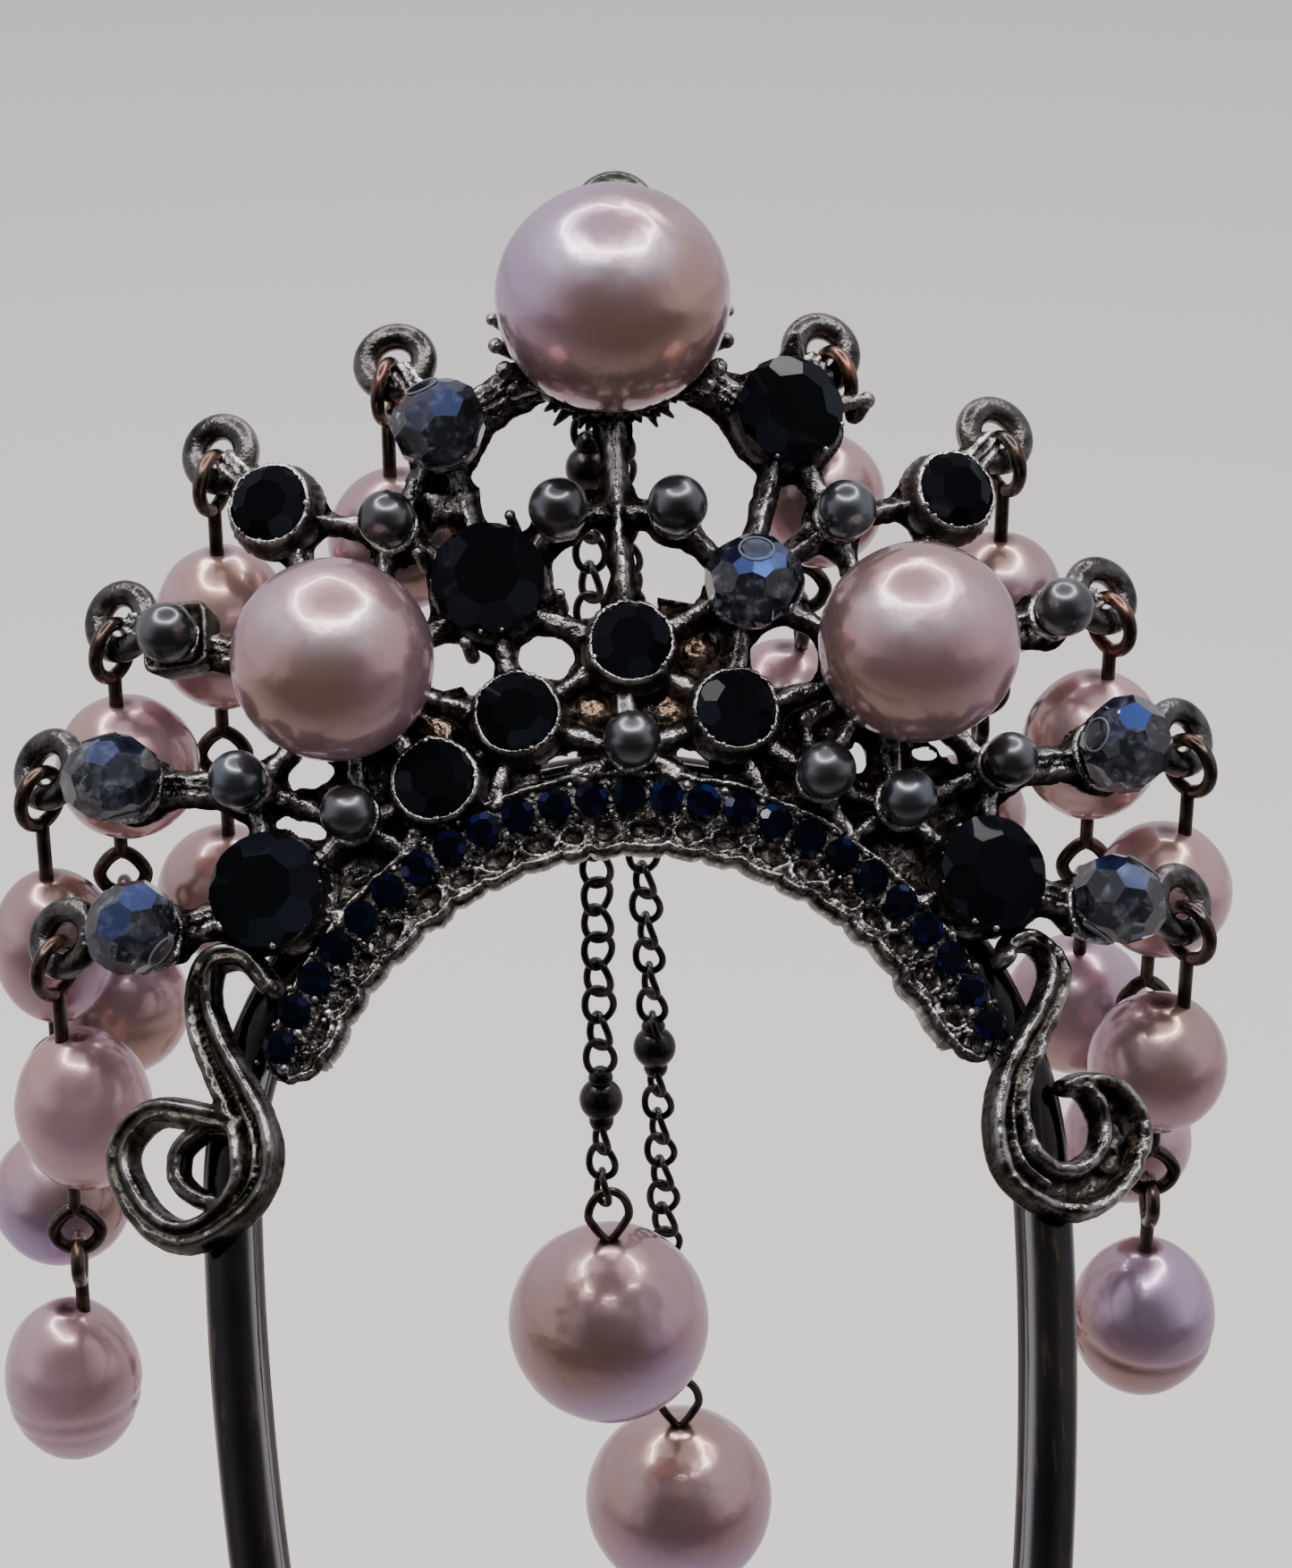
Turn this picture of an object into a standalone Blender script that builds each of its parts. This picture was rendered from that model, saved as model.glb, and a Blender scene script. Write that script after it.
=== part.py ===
# Tiara hairpin: a cast crown with pearls, cut stones and crystal beads on a two-legged hair fork.
# Ten strings of two pearls hang from loops round the crown's edge, and two chains with large
# pearls hang from a loop behind the top pearl. Sizes are in millimetres until they reach a mesh.
# The crown is one curved sheet of settings and struts, leaning back with the fork's plane. A place
# on it is given by its distance across (along the curve, right positive), its height up the sheet
# from the middle of the fork's arch, and its lift in front of the sheet.

import math

import bmesh
import bpy
from mathutils import Matrix, Vector

MM = 0.001

LEAN = math.radians(44.0)
CROWN_BEND = 60.0
CROWN_FRONT = 6.0
SHEET_BACK = -0.75
GAP = 0.12

STRUT = 0.62
STRUT_SIDES = 4
STRUT_OVERRUN = 0.35
CUP_SIDES = 8
BEZEL_FLOOR = 0.7
BEZEL_RIM = 1.75
LOOP_RADIUS = 1.5
LOOP_WIRE = 0.72
LOOP_SEGMENTS = 10
LOOP_SIDES = 5

BAND_RADIUS = 18.6
BAND_WIDTH = 3.4
BAND_FRONT = 0.35
BAND_START = 18.0
BAND_END = 162.0
SCALLOPS = 16
SCALLOP_DEPTH = 0.9

SMALL_STONES = 25
SMALL_STONE = 0.84
SMALL_STONE_RING = 18.75
SMALL_STONE_STRIP = 0.55
SMALL_STONE_START = 20.5

FORK_ROD = 1.5
FORK_ARCH = 20.6
FORK_LEG = 52.0
FORK_PULL = 7.5

EYE_WIRE = 0.38
EYE_HALF_WIDTH = 1.5
EYE_TOP = 1.32
LINK_HALF_WIDTH = 1.05
EYE_SEGMENTS = 10
EYE_SIDES = 5
EYE_OVERLAP = 1.4
EYE_SINK = 0.35
CHAIN_EYE = 1.3

CHAIN_TUBE = 0.7
CHAIN_TOP_DROP = 2.0
CHAIN_END_SIDE = -0.35

# Settings on the crown. Rows: name, kind, across, up, radius. Left is negative.
SETTINGS = (
    ("pearl_top", "pearl_large", 0.0, 44.0, 6.05),
    ("pearl_left", "pearl_large", -14.0, 25.7, 5.15),
    ("pearl_right", "pearl_large", 14.0, 25.7, 5.15),
    ("bead_01", "bead", -11.5, 33.6, 1.5),
    ("bead_02", "bead", -2.95, 33.6, 1.55),
    ("bead_03", "bead", 2.95, 33.6, 1.55),
    ("bead_04", "bead", 11.5, 33.5, 1.55),
    ("bead_05", "bead", -23.1, 28.9, 1.4),
    ("bead_06", "bead", 23.1, 29.0, 1.55),
    ("bead_07", "bead", -19.4, 20.5, 1.5),
    ("bead_08", "bead", -13.8, 18.15, 1.42),
    ("bead_09", "bead", 0.2, 21.1, 1.45),
    ("bead_10", "bead", 9.7, 19.4, 1.5),
    ("bead_11", "bead", 13.8, 18.05, 1.48),
    ("bead_12", "bead", 19.4, 20.4, 1.42),
    ("stone_01", "stone", -17.75, 35.4, 2.0),
    ("stone_02", "stone", 9.1, 39.2, 2.7),
    ("stone_03", "stone", -6.6, 30.2, 2.8),
    ("stone_04", "stone", 17.75, 35.2, 2.0),
    ("stone_05", "stone", 0.4, 26.5, 2.0),
    ("stone_06", "stone", -5.4, 22.95, 2.0),
    ("stone_07", "stone", 5.5, 22.85, 2.0),
    ("stone_08", "stone", -9.6, 19.7, 2.0),
    ("stone_09", "stone", -18.25, 14.7, 2.85),
    ("stone_10", "stone", 18.35, 14.5, 2.85),
    ("crystal_01", "crystal", -8.7, 38.4, 2.45),
    ("crystal_02", "crystal", 6.5, 29.3, 2.45),
    ("crystal_03", "crystal", -26.0, 21.4, 2.45),
    ("crystal_04", "crystal", -24.9, 13.3, 2.4),
    ("crystal_05", "crystal", 25.8, 21.6, 2.45),
    ("crystal_06", "crystal", 24.7, 13.2, 2.4),
)

# How far the middle of each kind stands in front of the sheet, and the radius of its cup.
SEATS = {
    "pearl_large": {"lift": 4.7, "cup": 3.7},
    "bead": {"lift": 2.35, "cup": 1.15},
    "stone": {"lift": 1.35, "cup": 0.0},
    "crystal": {"lift": 2.85, "cup": 1.7},
}

# Cast loops at the crown's edge. Rows: name, across, up. Each name is made right and left.
LOOPS = (
    ("loop_1", 11.3, 43.1),
    ("loop_2", 21.0, 39.2),
    ("loop_3", 26.9, 30.8),
    ("loop_4", 31.4, 23.4),
    ("loop_5", 30.4, 14.1),
)
TOP_LOOP = (0.6, 51.1)
TOP_ARM = 4.6

# Plain junctions of the lattice. Rows: name, across, up. Each is made right and left.
JUNCTIONS = (
    ("stem_top", 0.0, 38.6),
    ("stem_cross", 0.0, 34.2),
    ("stem_low", 0.2, 29.3),
    ("web_low", 9.3, 22.6),
    ("band_0", 2.4, 19.85),
    ("band_1", 6.8, 18.8),
    ("band_2", 11.4, 16.4),
    ("band_3", 15.0, 13.2),
    ("scroll_root", 19.6, 10.6),
)

# Struts of one half, between the settings, loops and junctions they join. The other half mirrors them.
HALF_STRUTS = (
    "top-high high-loop_1 high-near high-upper inner-stem_cross inner-near upper-near upper-corner "
    "upper-side corner-loop_2 corner-side edge-loop_3 edge-side near-mid near-centre near-side "
    "mid-centre mid-side mid-low mid-band_1 web_low-side web_low-low "
    "centre-bead bead-mid bead-band_0 low-foot low-side low-band_2 foot-outer foot-corner_low foot-band_2 "
    "foot-side outer-side outer-wing outer-corner_low wing-loop_4 corner_low-tip corner_low-band_3 "
    "corner_low-scroll_root tip-loop_5"
)
STEM_STRUTS = "top-stem_top stem_top-stem_cross stem_cross-stem_low stem_low-centre"
STRUT_TRIMS = {"top": 3.9, "side": 3.35, "band_0": 0.0, "band_1": 0.0, "band_2": 0.0, "band_3": 0.0}

# Short names used by the struts. Rows: name, across, up.
STRUT_ENDS = (
    ("top", 0.0, 44.0),
    ("high", 8.9, 38.8),
    ("inner", 2.95, 33.6),
    ("upper", 11.5, 33.6),
    ("near", 6.55, 29.8),
    ("corner", 17.75, 35.3),
    ("edge", 23.1, 28.9),
    ("side", 14.0, 25.7),
    ("mid", 5.45, 22.9),
    ("centre", 0.2, 26.5),
    ("bead", 0.1, 21.1),
    ("low", 9.65, 19.5),
    ("foot", 13.8, 18.1),
    ("outer", 19.4, 20.4),
    ("wing", 25.9, 21.5),
    ("corner_low", 18.3, 14.6),
    ("tip", 24.8, 13.25),
)

# Scrolls below the crown's ends. Rows: across, up, width.
SCROLL_LEFT = (
    (-18.6, 10.0, 1.4),
    (-20.0, 11.7, 1.6),
    (-21.8, 11.6, 1.8),
    (-22.3, 9.6, 2.0),
    (-21.7, 7.2, 2.3),
    (-20.5, 4.6, 2.6),
    (-19.6, 2.2, 2.9),
    (-19.8, 0.0, 2.6),
    (-21.3, -1.6, 2.0),
    (-23.4, -2.3, 1.8),
    (-25.4, -1.2, 1.8),
    (-26.8, 1.3, 1.7),
    (-26.6, 3.0, 1.7),
    (-24.9, 4.2, 1.6),
    (-22.4, 3.7, 1.6),
    (-20.8, 3.2, 1.6),
)
SCROLL_LEFT_INNER = (
    (-20.6, 3.1, 1.2),
    (-22.3, 3.0, 1.2),
    (-23.6, 2.1, 1.2),
    (-23.7, 0.7, 1.2),
    (-22.8, -0.3, 1.2),
    (-21.3, -0.9, 1.2),
)
SCROLL_RIGHT = (
    (19.0, 10.2, 1.2),
    (19.8, 11.2, 1.2),
    (21.0, 11.4, 1.3),
    (21.9, 10.6, 1.5),
    (22.1, 9.4, 1.6),
    (21.5, 7.9, 1.7),
    (20.6, 6.4, 1.9),
    (19.7, 4.9, 2.1),
    (19.1, 3.4, 2.3),
    (18.9, 1.6, 2.6),
    (19.3, -0.2, 2.9),
    (20.6, -1.3, 3.0),
    (22.3, -1.6, 3.1),
    (23.8, -1.0, 3.2),
    (24.9, 0.2, 3.2),
    (25.4, 1.8, 3.4),
    (24.7, 3.2, 2.6),
    (23.4, 3.9, 1.5),
    (22.2, 3.8, 0.9),
)
SCROLL_THICK = 1.7

# Pearl strings. Rows: name, loop, side, degrees outward from the loop's lowest point, then for the
# upper pearl: place across the view, drop below the loop, radius, half height; then the same for
# the lower pearl, with how far behind the loop it hangs.
STRINGS = (
    ("string_left_1", "loop_1", -1, 8.0, -11.3, 9.8, 3.85, 3.9, -11.5, 24.1, 3.6, 3.6, 0.0),
    ("string_left_2", "loop_2", -1, 0.0, -20.9, 9.8, 3.8, 4.6, -21.6, 26.1, 3.8, 3.8, 0.0),
    ("string_left_3", "loop_3", -1, 0.0, -26.2, 8.3, 3.85, 3.9, -27.5, 23.4, 3.8, 3.9, 0.4),
    ("string_left_4", "loop_4", -1, 0.0, -30.4, 10.4, 3.4, 4.4, -31.1, 26.4, 3.9, 3.9, 0.0),
    ("string_left_5", "loop_5", -1, 0.0, -28.8, 10.1, 3.65, 4.6, -30.6, 27.6, 3.75, 4.8, 0.0),
    ("string_right_1", "loop_1", 1, 20.0, 11.3, 8.2, 3.5, 3.7, 9.6, 20.6, 3.8, 3.8, 0.0),
    ("string_right_2", "loop_2", 1, 0.0, 21.1, 9.0, 3.4, 3.4, 19.6, 22.7, 3.5, 3.5, 0.0),
    ("string_right_3", "loop_3", 1, 0.0, 25.9, 8.6, 3.8, 4.2, 26.2, 26.0, 4.0, 4.0, 1.6),
    ("string_right_4", "loop_4", 1, 0.0, 29.6, 9.0, 3.75, 3.75, 28.5, 25.0, 3.7, 3.7, 0.0),
    ("string_right_5", "loop_5", 1, 0.0, 28.5, 9.4, 3.75, 3.85, 28.7, 26.0, 4.0, 4.6, 0.0),
)

# Chains with a large pearl. Rows: name, the chain's top across and behind its loop, then its
# pearl across, behind the loop and in height, and the pearl's radius.
CHAINS = (
    ("1", -1.6, 0.2, -0.1, -2.2, -29.5, 6.1),
    ("2", -0.4, 1.4, 4.7, 4.3, -48.4, 6.0),
)

COLOURS = {
    "gunmetal": ((0.13, 0.125, 0.125), 0.32, 1.0),
    "rod_metal": ((0.09, 0.085, 0.085), 0.18, 1.0),
    "mauve_pearl": ((0.62, 0.45, 0.46), 0.22, 0.0),
    "grey_pearl": ((0.16, 0.18, 0.2), 0.2, 0.3),
    "navy_glass": ((0.01, 0.014, 0.03), 0.05, 0.0),
    "grey_crystal": ((0.16, 0.19, 0.26), 0.05, 0.0),
}

SHEET_LEAN = Matrix.Rotation(-LEAN, 4, "X")


def clear_scene():
    for thing in list(bpy.data.objects):
        bpy.data.objects.remove(thing, do_unlink=True)


def new_collection(name, parent):
    group = bpy.data.collections.new(name)
    parent.children.link(group)
    return group


def make_materials():
    made = {}
    for name, (colour, roughness, metallic) in COLOURS.items():
        material = bpy.data.materials.new(name)
        material.use_nodes = True
        shader = material.node_tree.nodes["Principled BSDF"]
        shader.inputs["Base Color"].default_value = (*colour, 1.0)
        shader.inputs["Roughness"].default_value = roughness
        shader.inputs["Metallic"].default_value = metallic
        made[name] = material
    return made


def crown_pose(across, up, lift=0.0):
    """The frame at a place on the crown: X across, Y up the sheet, Z out of its front."""
    angle = across / CROWN_BEND
    reach = CROWN_BEND + lift
    place = Vector((reach * math.sin(angle), CROWN_BEND - CROWN_FRONT - reach * math.cos(angle), up))
    sideways = Vector((math.cos(angle), math.sin(angle), 0.0))
    outward = Vector((math.sin(angle), -math.cos(angle), 0.0))
    turn = Matrix((sideways, Vector((0.0, 0.0, 1.0)), outward)).transposed().to_4x4()
    return SHEET_LEAN @ Matrix.Translation(place) @ turn


def crown_point(across, up, lift=0.0):
    return crown_pose(across, up, lift).translation


def arc_place(radius, degrees):
    angle = math.radians(degrees)
    return radius * math.cos(angle), radius * math.sin(angle)


def named_places():
    return {name: (across, up) for name, across, up in STRUT_ENDS + JUNCTIONS + LOOPS}


def to_object(name, mesh, group, pose=None):
    """A new object whose mesh, given in millimetres, is scaled to metres and moved to its pose."""
    mesh.transform(Matrix.Scale(MM, 4))
    thing = bpy.data.objects.new(name, mesh)
    group.objects.link(thing)
    if pose is not None:
        metres = pose.copy()
        metres.translation = pose.translation * MM
        thing.matrix_world = metres
    return thing


def shape_mesh(name, build):
    """A mesh made by one bmesh operator call, with the faces pointing out."""
    shape = bmesh.new()
    build(shape)
    bmesh.ops.recalc_face_normals(shape, faces=shape.faces)
    mesh = bpy.data.meshes.new(name)
    shape.to_mesh(mesh)
    shape.free()
    return mesh


def disc(name, radius, back, front, sides, group, pose, top_radius=None):
    """A short cylinder or cone round the pose's Z, from back to front."""
    depth = front - back
    middle = Matrix.Translation((0.0, 0.0, back + depth / 2))
    end = radius if top_radius is None else top_radius

    def build(shape):
        bmesh.ops.create_cone(shape, cap_ends=True, segments=sides, radius1=radius, radius2=end, depth=depth, matrix=middle)

    return to_object(name, shape_mesh(name, build), group, pose)


def ball(name, radius, half_height, group, place, sides=10, rings=5):
    stretch = Matrix.Diagonal((radius, radius, half_height, 1.0))

    def build(shape):
        bmesh.ops.create_uvsphere(shape, u_segments=sides, v_segments=rings, radius=1.0, matrix=stretch)

    pose = place if isinstance(place, Matrix) else Matrix.Translation(place)
    return to_object(name, shape_mesh(name, build), group, pose)


def rod(name, start, end, radius, sides, group, end_radius=None):
    """A straight round rod between two places."""
    along = end - start
    pose = Matrix.Translation(start) @ along.to_track_quat("Z", "Y").to_matrix().to_4x4()
    return disc(name, radius, 0.0, along.length, sides, group, pose, end_radius)


def ring(name, radius, wire, segments, sides, group, pose, reach_up=None, reach_down=None):
    """A ring round the pose's Z: a circle of wire, spun right round.

    The reaches move the wire's middle up or down along Y, so that a ring becomes a long eye.
    """
    section = Matrix.Translation((radius, 0.0, 0.0)) @ Matrix.Rotation(math.pi / 2, 4, "X")
    extra_up = (reach_up or radius) - radius
    extra_down = (reach_down or radius) - radius

    def build(shape):
        bmesh.ops.create_circle(shape, segments=sides, radius=wire, matrix=section)
        bmesh.ops.spin(
            shape,
            geom=shape.verts[:] + shape.edges[:],
            axis=(0.0, 0.0, 1.0),
            cent=(0.0, 0.0, 0.0),
            angle=math.tau,
            steps=segments,
            use_merge=True,
        )
        for vert in shape.verts:
            rise = math.sin(math.atan2(vert.co.y, vert.co.x))
            vert.co.y += rise * (extra_up if rise > 0.0 else extra_down)

    return to_object(name, shape_mesh(name, build), group, pose)


def turned(name, profile, sides, group, pose):
    """A profile of (radius, height) points, top middle to bottom middle, turned round the pose's Z."""
    mesh = bpy.data.meshes.new(name)
    points = [(radius, 0.0, height) for radius, height in profile]
    edges = [(i, i + 1) for i in range(len(points) - 1)]
    mesh.from_pydata(points, edges, [])
    thing = to_object(name, mesh, group, pose)
    screw = thing.modifiers.new("turn", "SCREW")
    screw.axis = "Z"
    screw.steps = sides
    screw.render_steps = sides
    screw.use_merge_vertices = True
    screw.merge_threshold = 0.00001
    return thing


def ribbon(name, rows, thickness, group, lift=0.0):
    """A flat strip on the crown through rows of (across, up, width), given its thickness by Solidify."""
    left, right = [], []
    for i, (across, up, width) in enumerate(rows):
        before = rows[max(i - 1, 0)]
        after = rows[min(i + 1, len(rows) - 1)]
        run = Vector((after[0] - before[0], after[1] - before[1])).normalized()
        offset = Vector((-run.y, run.x)) * width / 2
        left.append(crown_point(across + offset.x, up + offset.y, lift))
        right.append(crown_point(across - offset.x, up - offset.y, lift))
    count = len(rows)
    faces = [(i, count + i, count + i + 1, i + 1) for i in range(count - 1)]
    mesh = bpy.data.meshes.new(name)
    mesh.from_pydata([tuple(p) for p in left + right], [], faces)
    thing = to_object(name, mesh, group)
    solid = thing.modifiers.new("thickness", "SOLIDIFY")
    solid.thickness = thickness * MM
    solid.offset = 0.0
    return thing


def wire(name, points, radius, group, cyclic=False):
    """A round wire through the points, with closed ends, as a mesh."""
    curve = bpy.data.curves.new(name, "CURVE")
    curve.dimensions = "3D"
    curve.bevel_depth = radius * MM
    curve.bevel_resolution = 2
    curve.use_fill_caps = True
    spline = curve.splines.new("POLY")
    spline.points.add(len(points) - 1)
    for point, place in zip(spline.points, points):
        point.co = (*(place * MM), 1.0)
    spline.use_cyclic_u = cyclic
    source = bpy.data.objects.new(name + "_curve", curve)
    group.objects.link(source)
    evaluated = source.evaluated_get(bpy.context.evaluated_depsgraph_get())
    mesh = bpy.data.meshes.new_from_object(evaluated)
    bpy.data.objects.remove(source, do_unlink=True)
    shape = bmesh.new()
    shape.from_mesh(mesh)
    bmesh.ops.remove_doubles(shape, verts=shape.verts, dist=0.00001)
    bmesh.ops.recalc_face_normals(shape, faces=shape.faces)
    shape.to_mesh(mesh)
    shape.free()
    thing = bpy.data.objects.new(name, mesh)
    group.objects.link(thing)
    return thing


def fuse(name, body, others, parts):
    """One solid: the body joined with every piece of the others collection."""
    body.name = name
    parts.objects.link(body)
    others.objects.unlink(body)
    for thing in others.objects:
        thing.hide_render = True
        thing.display_type = "WIRE"
    union = body.modifiers.new("union", "BOOLEAN")
    union.operation = "UNION"
    union.operand_type = "COLLECTION"
    union.collection = others
    union.solver = "MANIFOLD"
    return body


def finish(thing, material):
    thing.data.materials.clear()
    thing.data.materials.append(material)
    thing.data.shade_smooth()
    thing.data.set_sharp_from_angle(angle=math.radians(35.0))


def stone_bezel(name, radius, group, pose):
    """A cup with a raised rim and a hollow that takes the stone's pointed back."""
    inside = radius + GAP
    rim = radius + 0.5
    profile = (
        (0.0, BEZEL_FLOOR),
        (inside, BEZEL_FLOOR),
        (inside, BEZEL_RIM),
        (rim, SHEET_BACK),
        (0.0, SHEET_BACK),
    )
    return turned(name, profile, CUP_SIDES, group, pose)


def pearl_cup(name, radius, cup, lift, group, pose):
    """A dish under a large pearl, following its ball at a small gap."""
    ball_gap = radius + GAP + 0.05
    floor = lift - ball_gap - 0.05
    rim_height = lift - math.sqrt(ball_gap**2 - cup**2) - 0.08
    half = cup * 0.55
    half_height = lift - math.sqrt(ball_gap**2 - half**2) - 0.1
    bottom = min(SHEET_BACK, floor - 0.8)
    profile = (
        (0.0, floor),
        (half, half_height),
        (cup, rim_height),
        (cup + 0.35, rim_height - 0.25),
        (cup * 0.8, bottom + 0.5),
        (cup * 0.5, bottom),
        (0.0, bottom),
    )
    return turned(name, profile, CUP_SIDES, group, pose)


def add_prongs(radius, cup, lift, count, start, end, length, group, pose):
    """Pointed prongs round a large pearl's cup, leaning out along its ball."""
    for i in range(count):
        angle = math.radians(start + (end - start) * i / max(count - 1, 1))
        foot = Vector((math.cos(angle) * cup * 0.95, math.sin(angle) * cup * 0.95, lift - radius * 0.86))
        tip = Vector((math.cos(angle), math.sin(angle), 0.0)) * (cup + length)
        tip.z = lift - radius * 0.52
        rod(f"prong_{i}", pose @ foot, pose @ tip, 0.42, 4, group, 0.16)


def add_settings(group):
    for name, kind, across, up, radius in SETTINGS:
        seat = SEATS[kind]
        pose = crown_pose(across, up)
        if kind == "stone":
            stone_bezel("bezel_" + name, radius, group, pose)
        elif kind == "pearl_large":
            pearl_cup("cup_" + name, radius, seat["cup"] * radius / 5.15, seat["lift"] + radius - 5.15, group, pose)
        else:
            front = seat["lift"] - radius - GAP
            disc("cup_" + name, seat["cup"], SHEET_BACK, front, 8, group, pose)


def add_top_prongs(group):
    name, kind, across, up, radius = SETTINGS[0]
    seat = SEATS[kind]
    scale = radius / 5.15
    lift = seat["lift"] + radius - 5.15
    add_prongs(radius, seat["cup"] * scale, lift, 9, 190.0, 350.0, 1.35, group, crown_pose(across, up))


def add_loops(group):
    for name, across, up in LOOPS:
        for side in (-1, 1):
            ring(f"{name}_{side}", LOOP_RADIUS, LOOP_WIRE, LOOP_SEGMENTS, LOOP_SIDES, group, crown_pose(side * across, up))
    ring("loop_top", LOOP_RADIUS, LOOP_WIRE, LOOP_SEGMENTS, LOOP_SIDES, group, crown_pose(*TOP_LOOP))
    start = crown_point(TOP_LOOP[0], TOP_LOOP[1] - TOP_ARM, SHEET_BACK - STRUT / 2)
    rod("arm_top", start, crown_point(TOP_LOOP[0], TOP_LOOP[1] - LOOP_RADIUS), STRUT, STRUT_SIDES, group)


def shortened(start, end, trim):
    """The end place pulled back toward the start, so that a strut stops in a loop's wire or a cup's rim."""
    along = end - start
    return end - along.normalized() * trim


def add_strut(pair, side, places, trims, group):
    """One strut between two named places, cut short where it meets a loop or a large pearl's cup."""
    first, second = pair.split("-")
    start = crown_point(side * places[first][0], places[first][1])
    end = crown_point(side * places[second][0], places[second][1])
    cut_start = shortened(end, start, trims.get(first, -STRUT_OVERRUN))
    cut_end = shortened(start, end, trims.get(second, -STRUT_OVERRUN))
    rod(f"strut_{pair}_{side}", cut_start, cut_end, STRUT, STRUT_SIDES, group)


def add_struts(group):
    places = named_places()
    trims = {name: LOOP_RADIUS for name, across, up in LOOPS}
    trims.update(STRUT_TRIMS)
    for pair in HALF_STRUTS.split():
        for side in (-1, 1):
            add_strut(pair, side, places, trims, group)
    for pair in STEM_STRUTS.split():
        add_strut(pair, 1, places, trims, group)


def add_band(group):
    rows = []
    for i in range(2 * SCALLOPS + 1):
        angle = BAND_START + (BAND_END - BAND_START) * i / (2 * SCALLOPS)
        bulge = SCALLOP_DEPTH if i % 2 else 0.0
        across, up = arc_place(BAND_RADIUS - bulge / 2, angle)
        rows.append((across, up, BAND_WIDTH + bulge))
    thickness = BAND_FRONT - SHEET_BACK
    return ribbon("band", rows, thickness, group, (BAND_FRONT + SHEET_BACK) / 2)


def add_scrolls(group):
    ribbon("scroll_left", SCROLL_LEFT, SCROLL_THICK, group, 0.15)
    ribbon("scroll_left_inner", SCROLL_LEFT_INNER, SCROLL_THICK * 0.8, group, 0.15)
    ribbon("scroll_right", SCROLL_RIGHT, SCROLL_THICK, group, 0.15)


def make_crown(parts, cutters, material):
    group = new_collection("crown_pieces", cutters)
    body = add_band(group)
    add_settings(group)
    add_top_prongs(group)
    add_loops(group)
    add_struts(group)
    add_scrolls(group)
    finish(fuse("crown_casting", body, group, parts), material)


def make_fork(parts, material):
    """A round rod bent to an arch with two legs that draw together toward their rounded tips."""
    points = []
    leg_steps = 6
    arch_steps = 12
    for i in range(leg_steps):
        down = FORK_LEG * (1 - i / leg_steps)
        inward = FORK_PULL * (1 - math.cos(math.pi / 2 * down / FORK_LEG * 0.98))
        points.append(Vector((-FORK_ARCH + inward, 0.0, -down)))
    for i in range(arch_steps + 1):
        angle = math.pi * (1 - i / arch_steps)
        points.append(Vector((FORK_ARCH * math.cos(angle), 0.0, FORK_ARCH * 1.03 * math.sin(angle))))
    for i in range(leg_steps):
        left = points[leg_steps - 1 - i]
        points.append(Vector((-left.x, 0.0, left.z)))
    fork = wire("hair_fork", [SHEET_LEAN @ point for point in points], FORK_ROD, parts)
    finish(fork, material)


def make_large_pearl(name, across, up, radius, parts, material):
    pose = crown_pose(across, up, SEATS["pearl_large"]["lift"] + radius - 5.15)
    finish(ball(name, radius, radius, parts, pose, 12, 7), material)


def make_bead(name, across, up, radius, parts, material):
    pose = crown_pose(across, up, SEATS["bead"]["lift"])
    finish(ball(name, radius, radius, parts, pose, 10, 4), material)


def make_stone(name, across, up, radius, parts, material):
    """A round cut stone: flat table, eight crown facets, a thin girdle and a cut-off pointed back."""
    back = BEZEL_FLOOR + GAP
    profile = (
        (0.0, BEZEL_RIM + radius * 0.33),
        (radius * 0.55, BEZEL_RIM + radius * 0.33),
        (radius, BEZEL_RIM),
        (radius, BEZEL_RIM - 0.2),
        (radius * 0.7, back),
        (0.0, back),
    )
    finish(turned(name, profile, 8, parts, crown_pose(across, up)), material)


def make_crystal(name, across, up, radius, parts, material):
    """A cut bead: eight facets round, in two rows above and two below its widest part."""
    profile = (
        (0.0, radius * 0.86),
        (radius * 0.46, radius * 0.86),
        (radius * 0.93, radius * 0.34),
        (radius, 0.0),
        (radius * 0.93, -radius * 0.34),
        (radius * 0.46, -radius * 0.86),
        (0.0, -radius * 0.86),
    )
    pose = crown_pose(across, up, SEATS["crystal"]["lift"])
    finish(turned(name, profile, 8, parts, pose), material)


def make_stone_row(parts, cutters, material):
    """The row of small stones along the arched band, on one thin strip."""
    group = new_collection("stone_row_pieces", cutters)
    strip_back = BAND_FRONT + GAP
    strip_front = strip_back + SMALL_STONE_STRIP
    step = (180.0 - 2 * SMALL_STONE_START) / (SMALL_STONES - 1)
    rows = []
    for i in range(SMALL_STONES + 1):
        angle = SMALL_STONE_START + step * (i - 0.5)
        rows.append((*arc_place(SMALL_STONE_RING, angle), SMALL_STONE * 2.4))
    body = ribbon("strip", rows, SMALL_STONE_STRIP, group, (strip_back + strip_front) / 2)
    for i in range(SMALL_STONES):
        pose = crown_pose(*arc_place(SMALL_STONE_RING, SMALL_STONE_START + step * i))
        name = f"small_stone_{i:02d}"
        disc(name, SMALL_STONE, strip_back + 0.1, strip_front + 0.45, 8, group, pose, SMALL_STONE * 0.55)
    finish(fuse("stone_row", body, group, parts), material)


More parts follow.
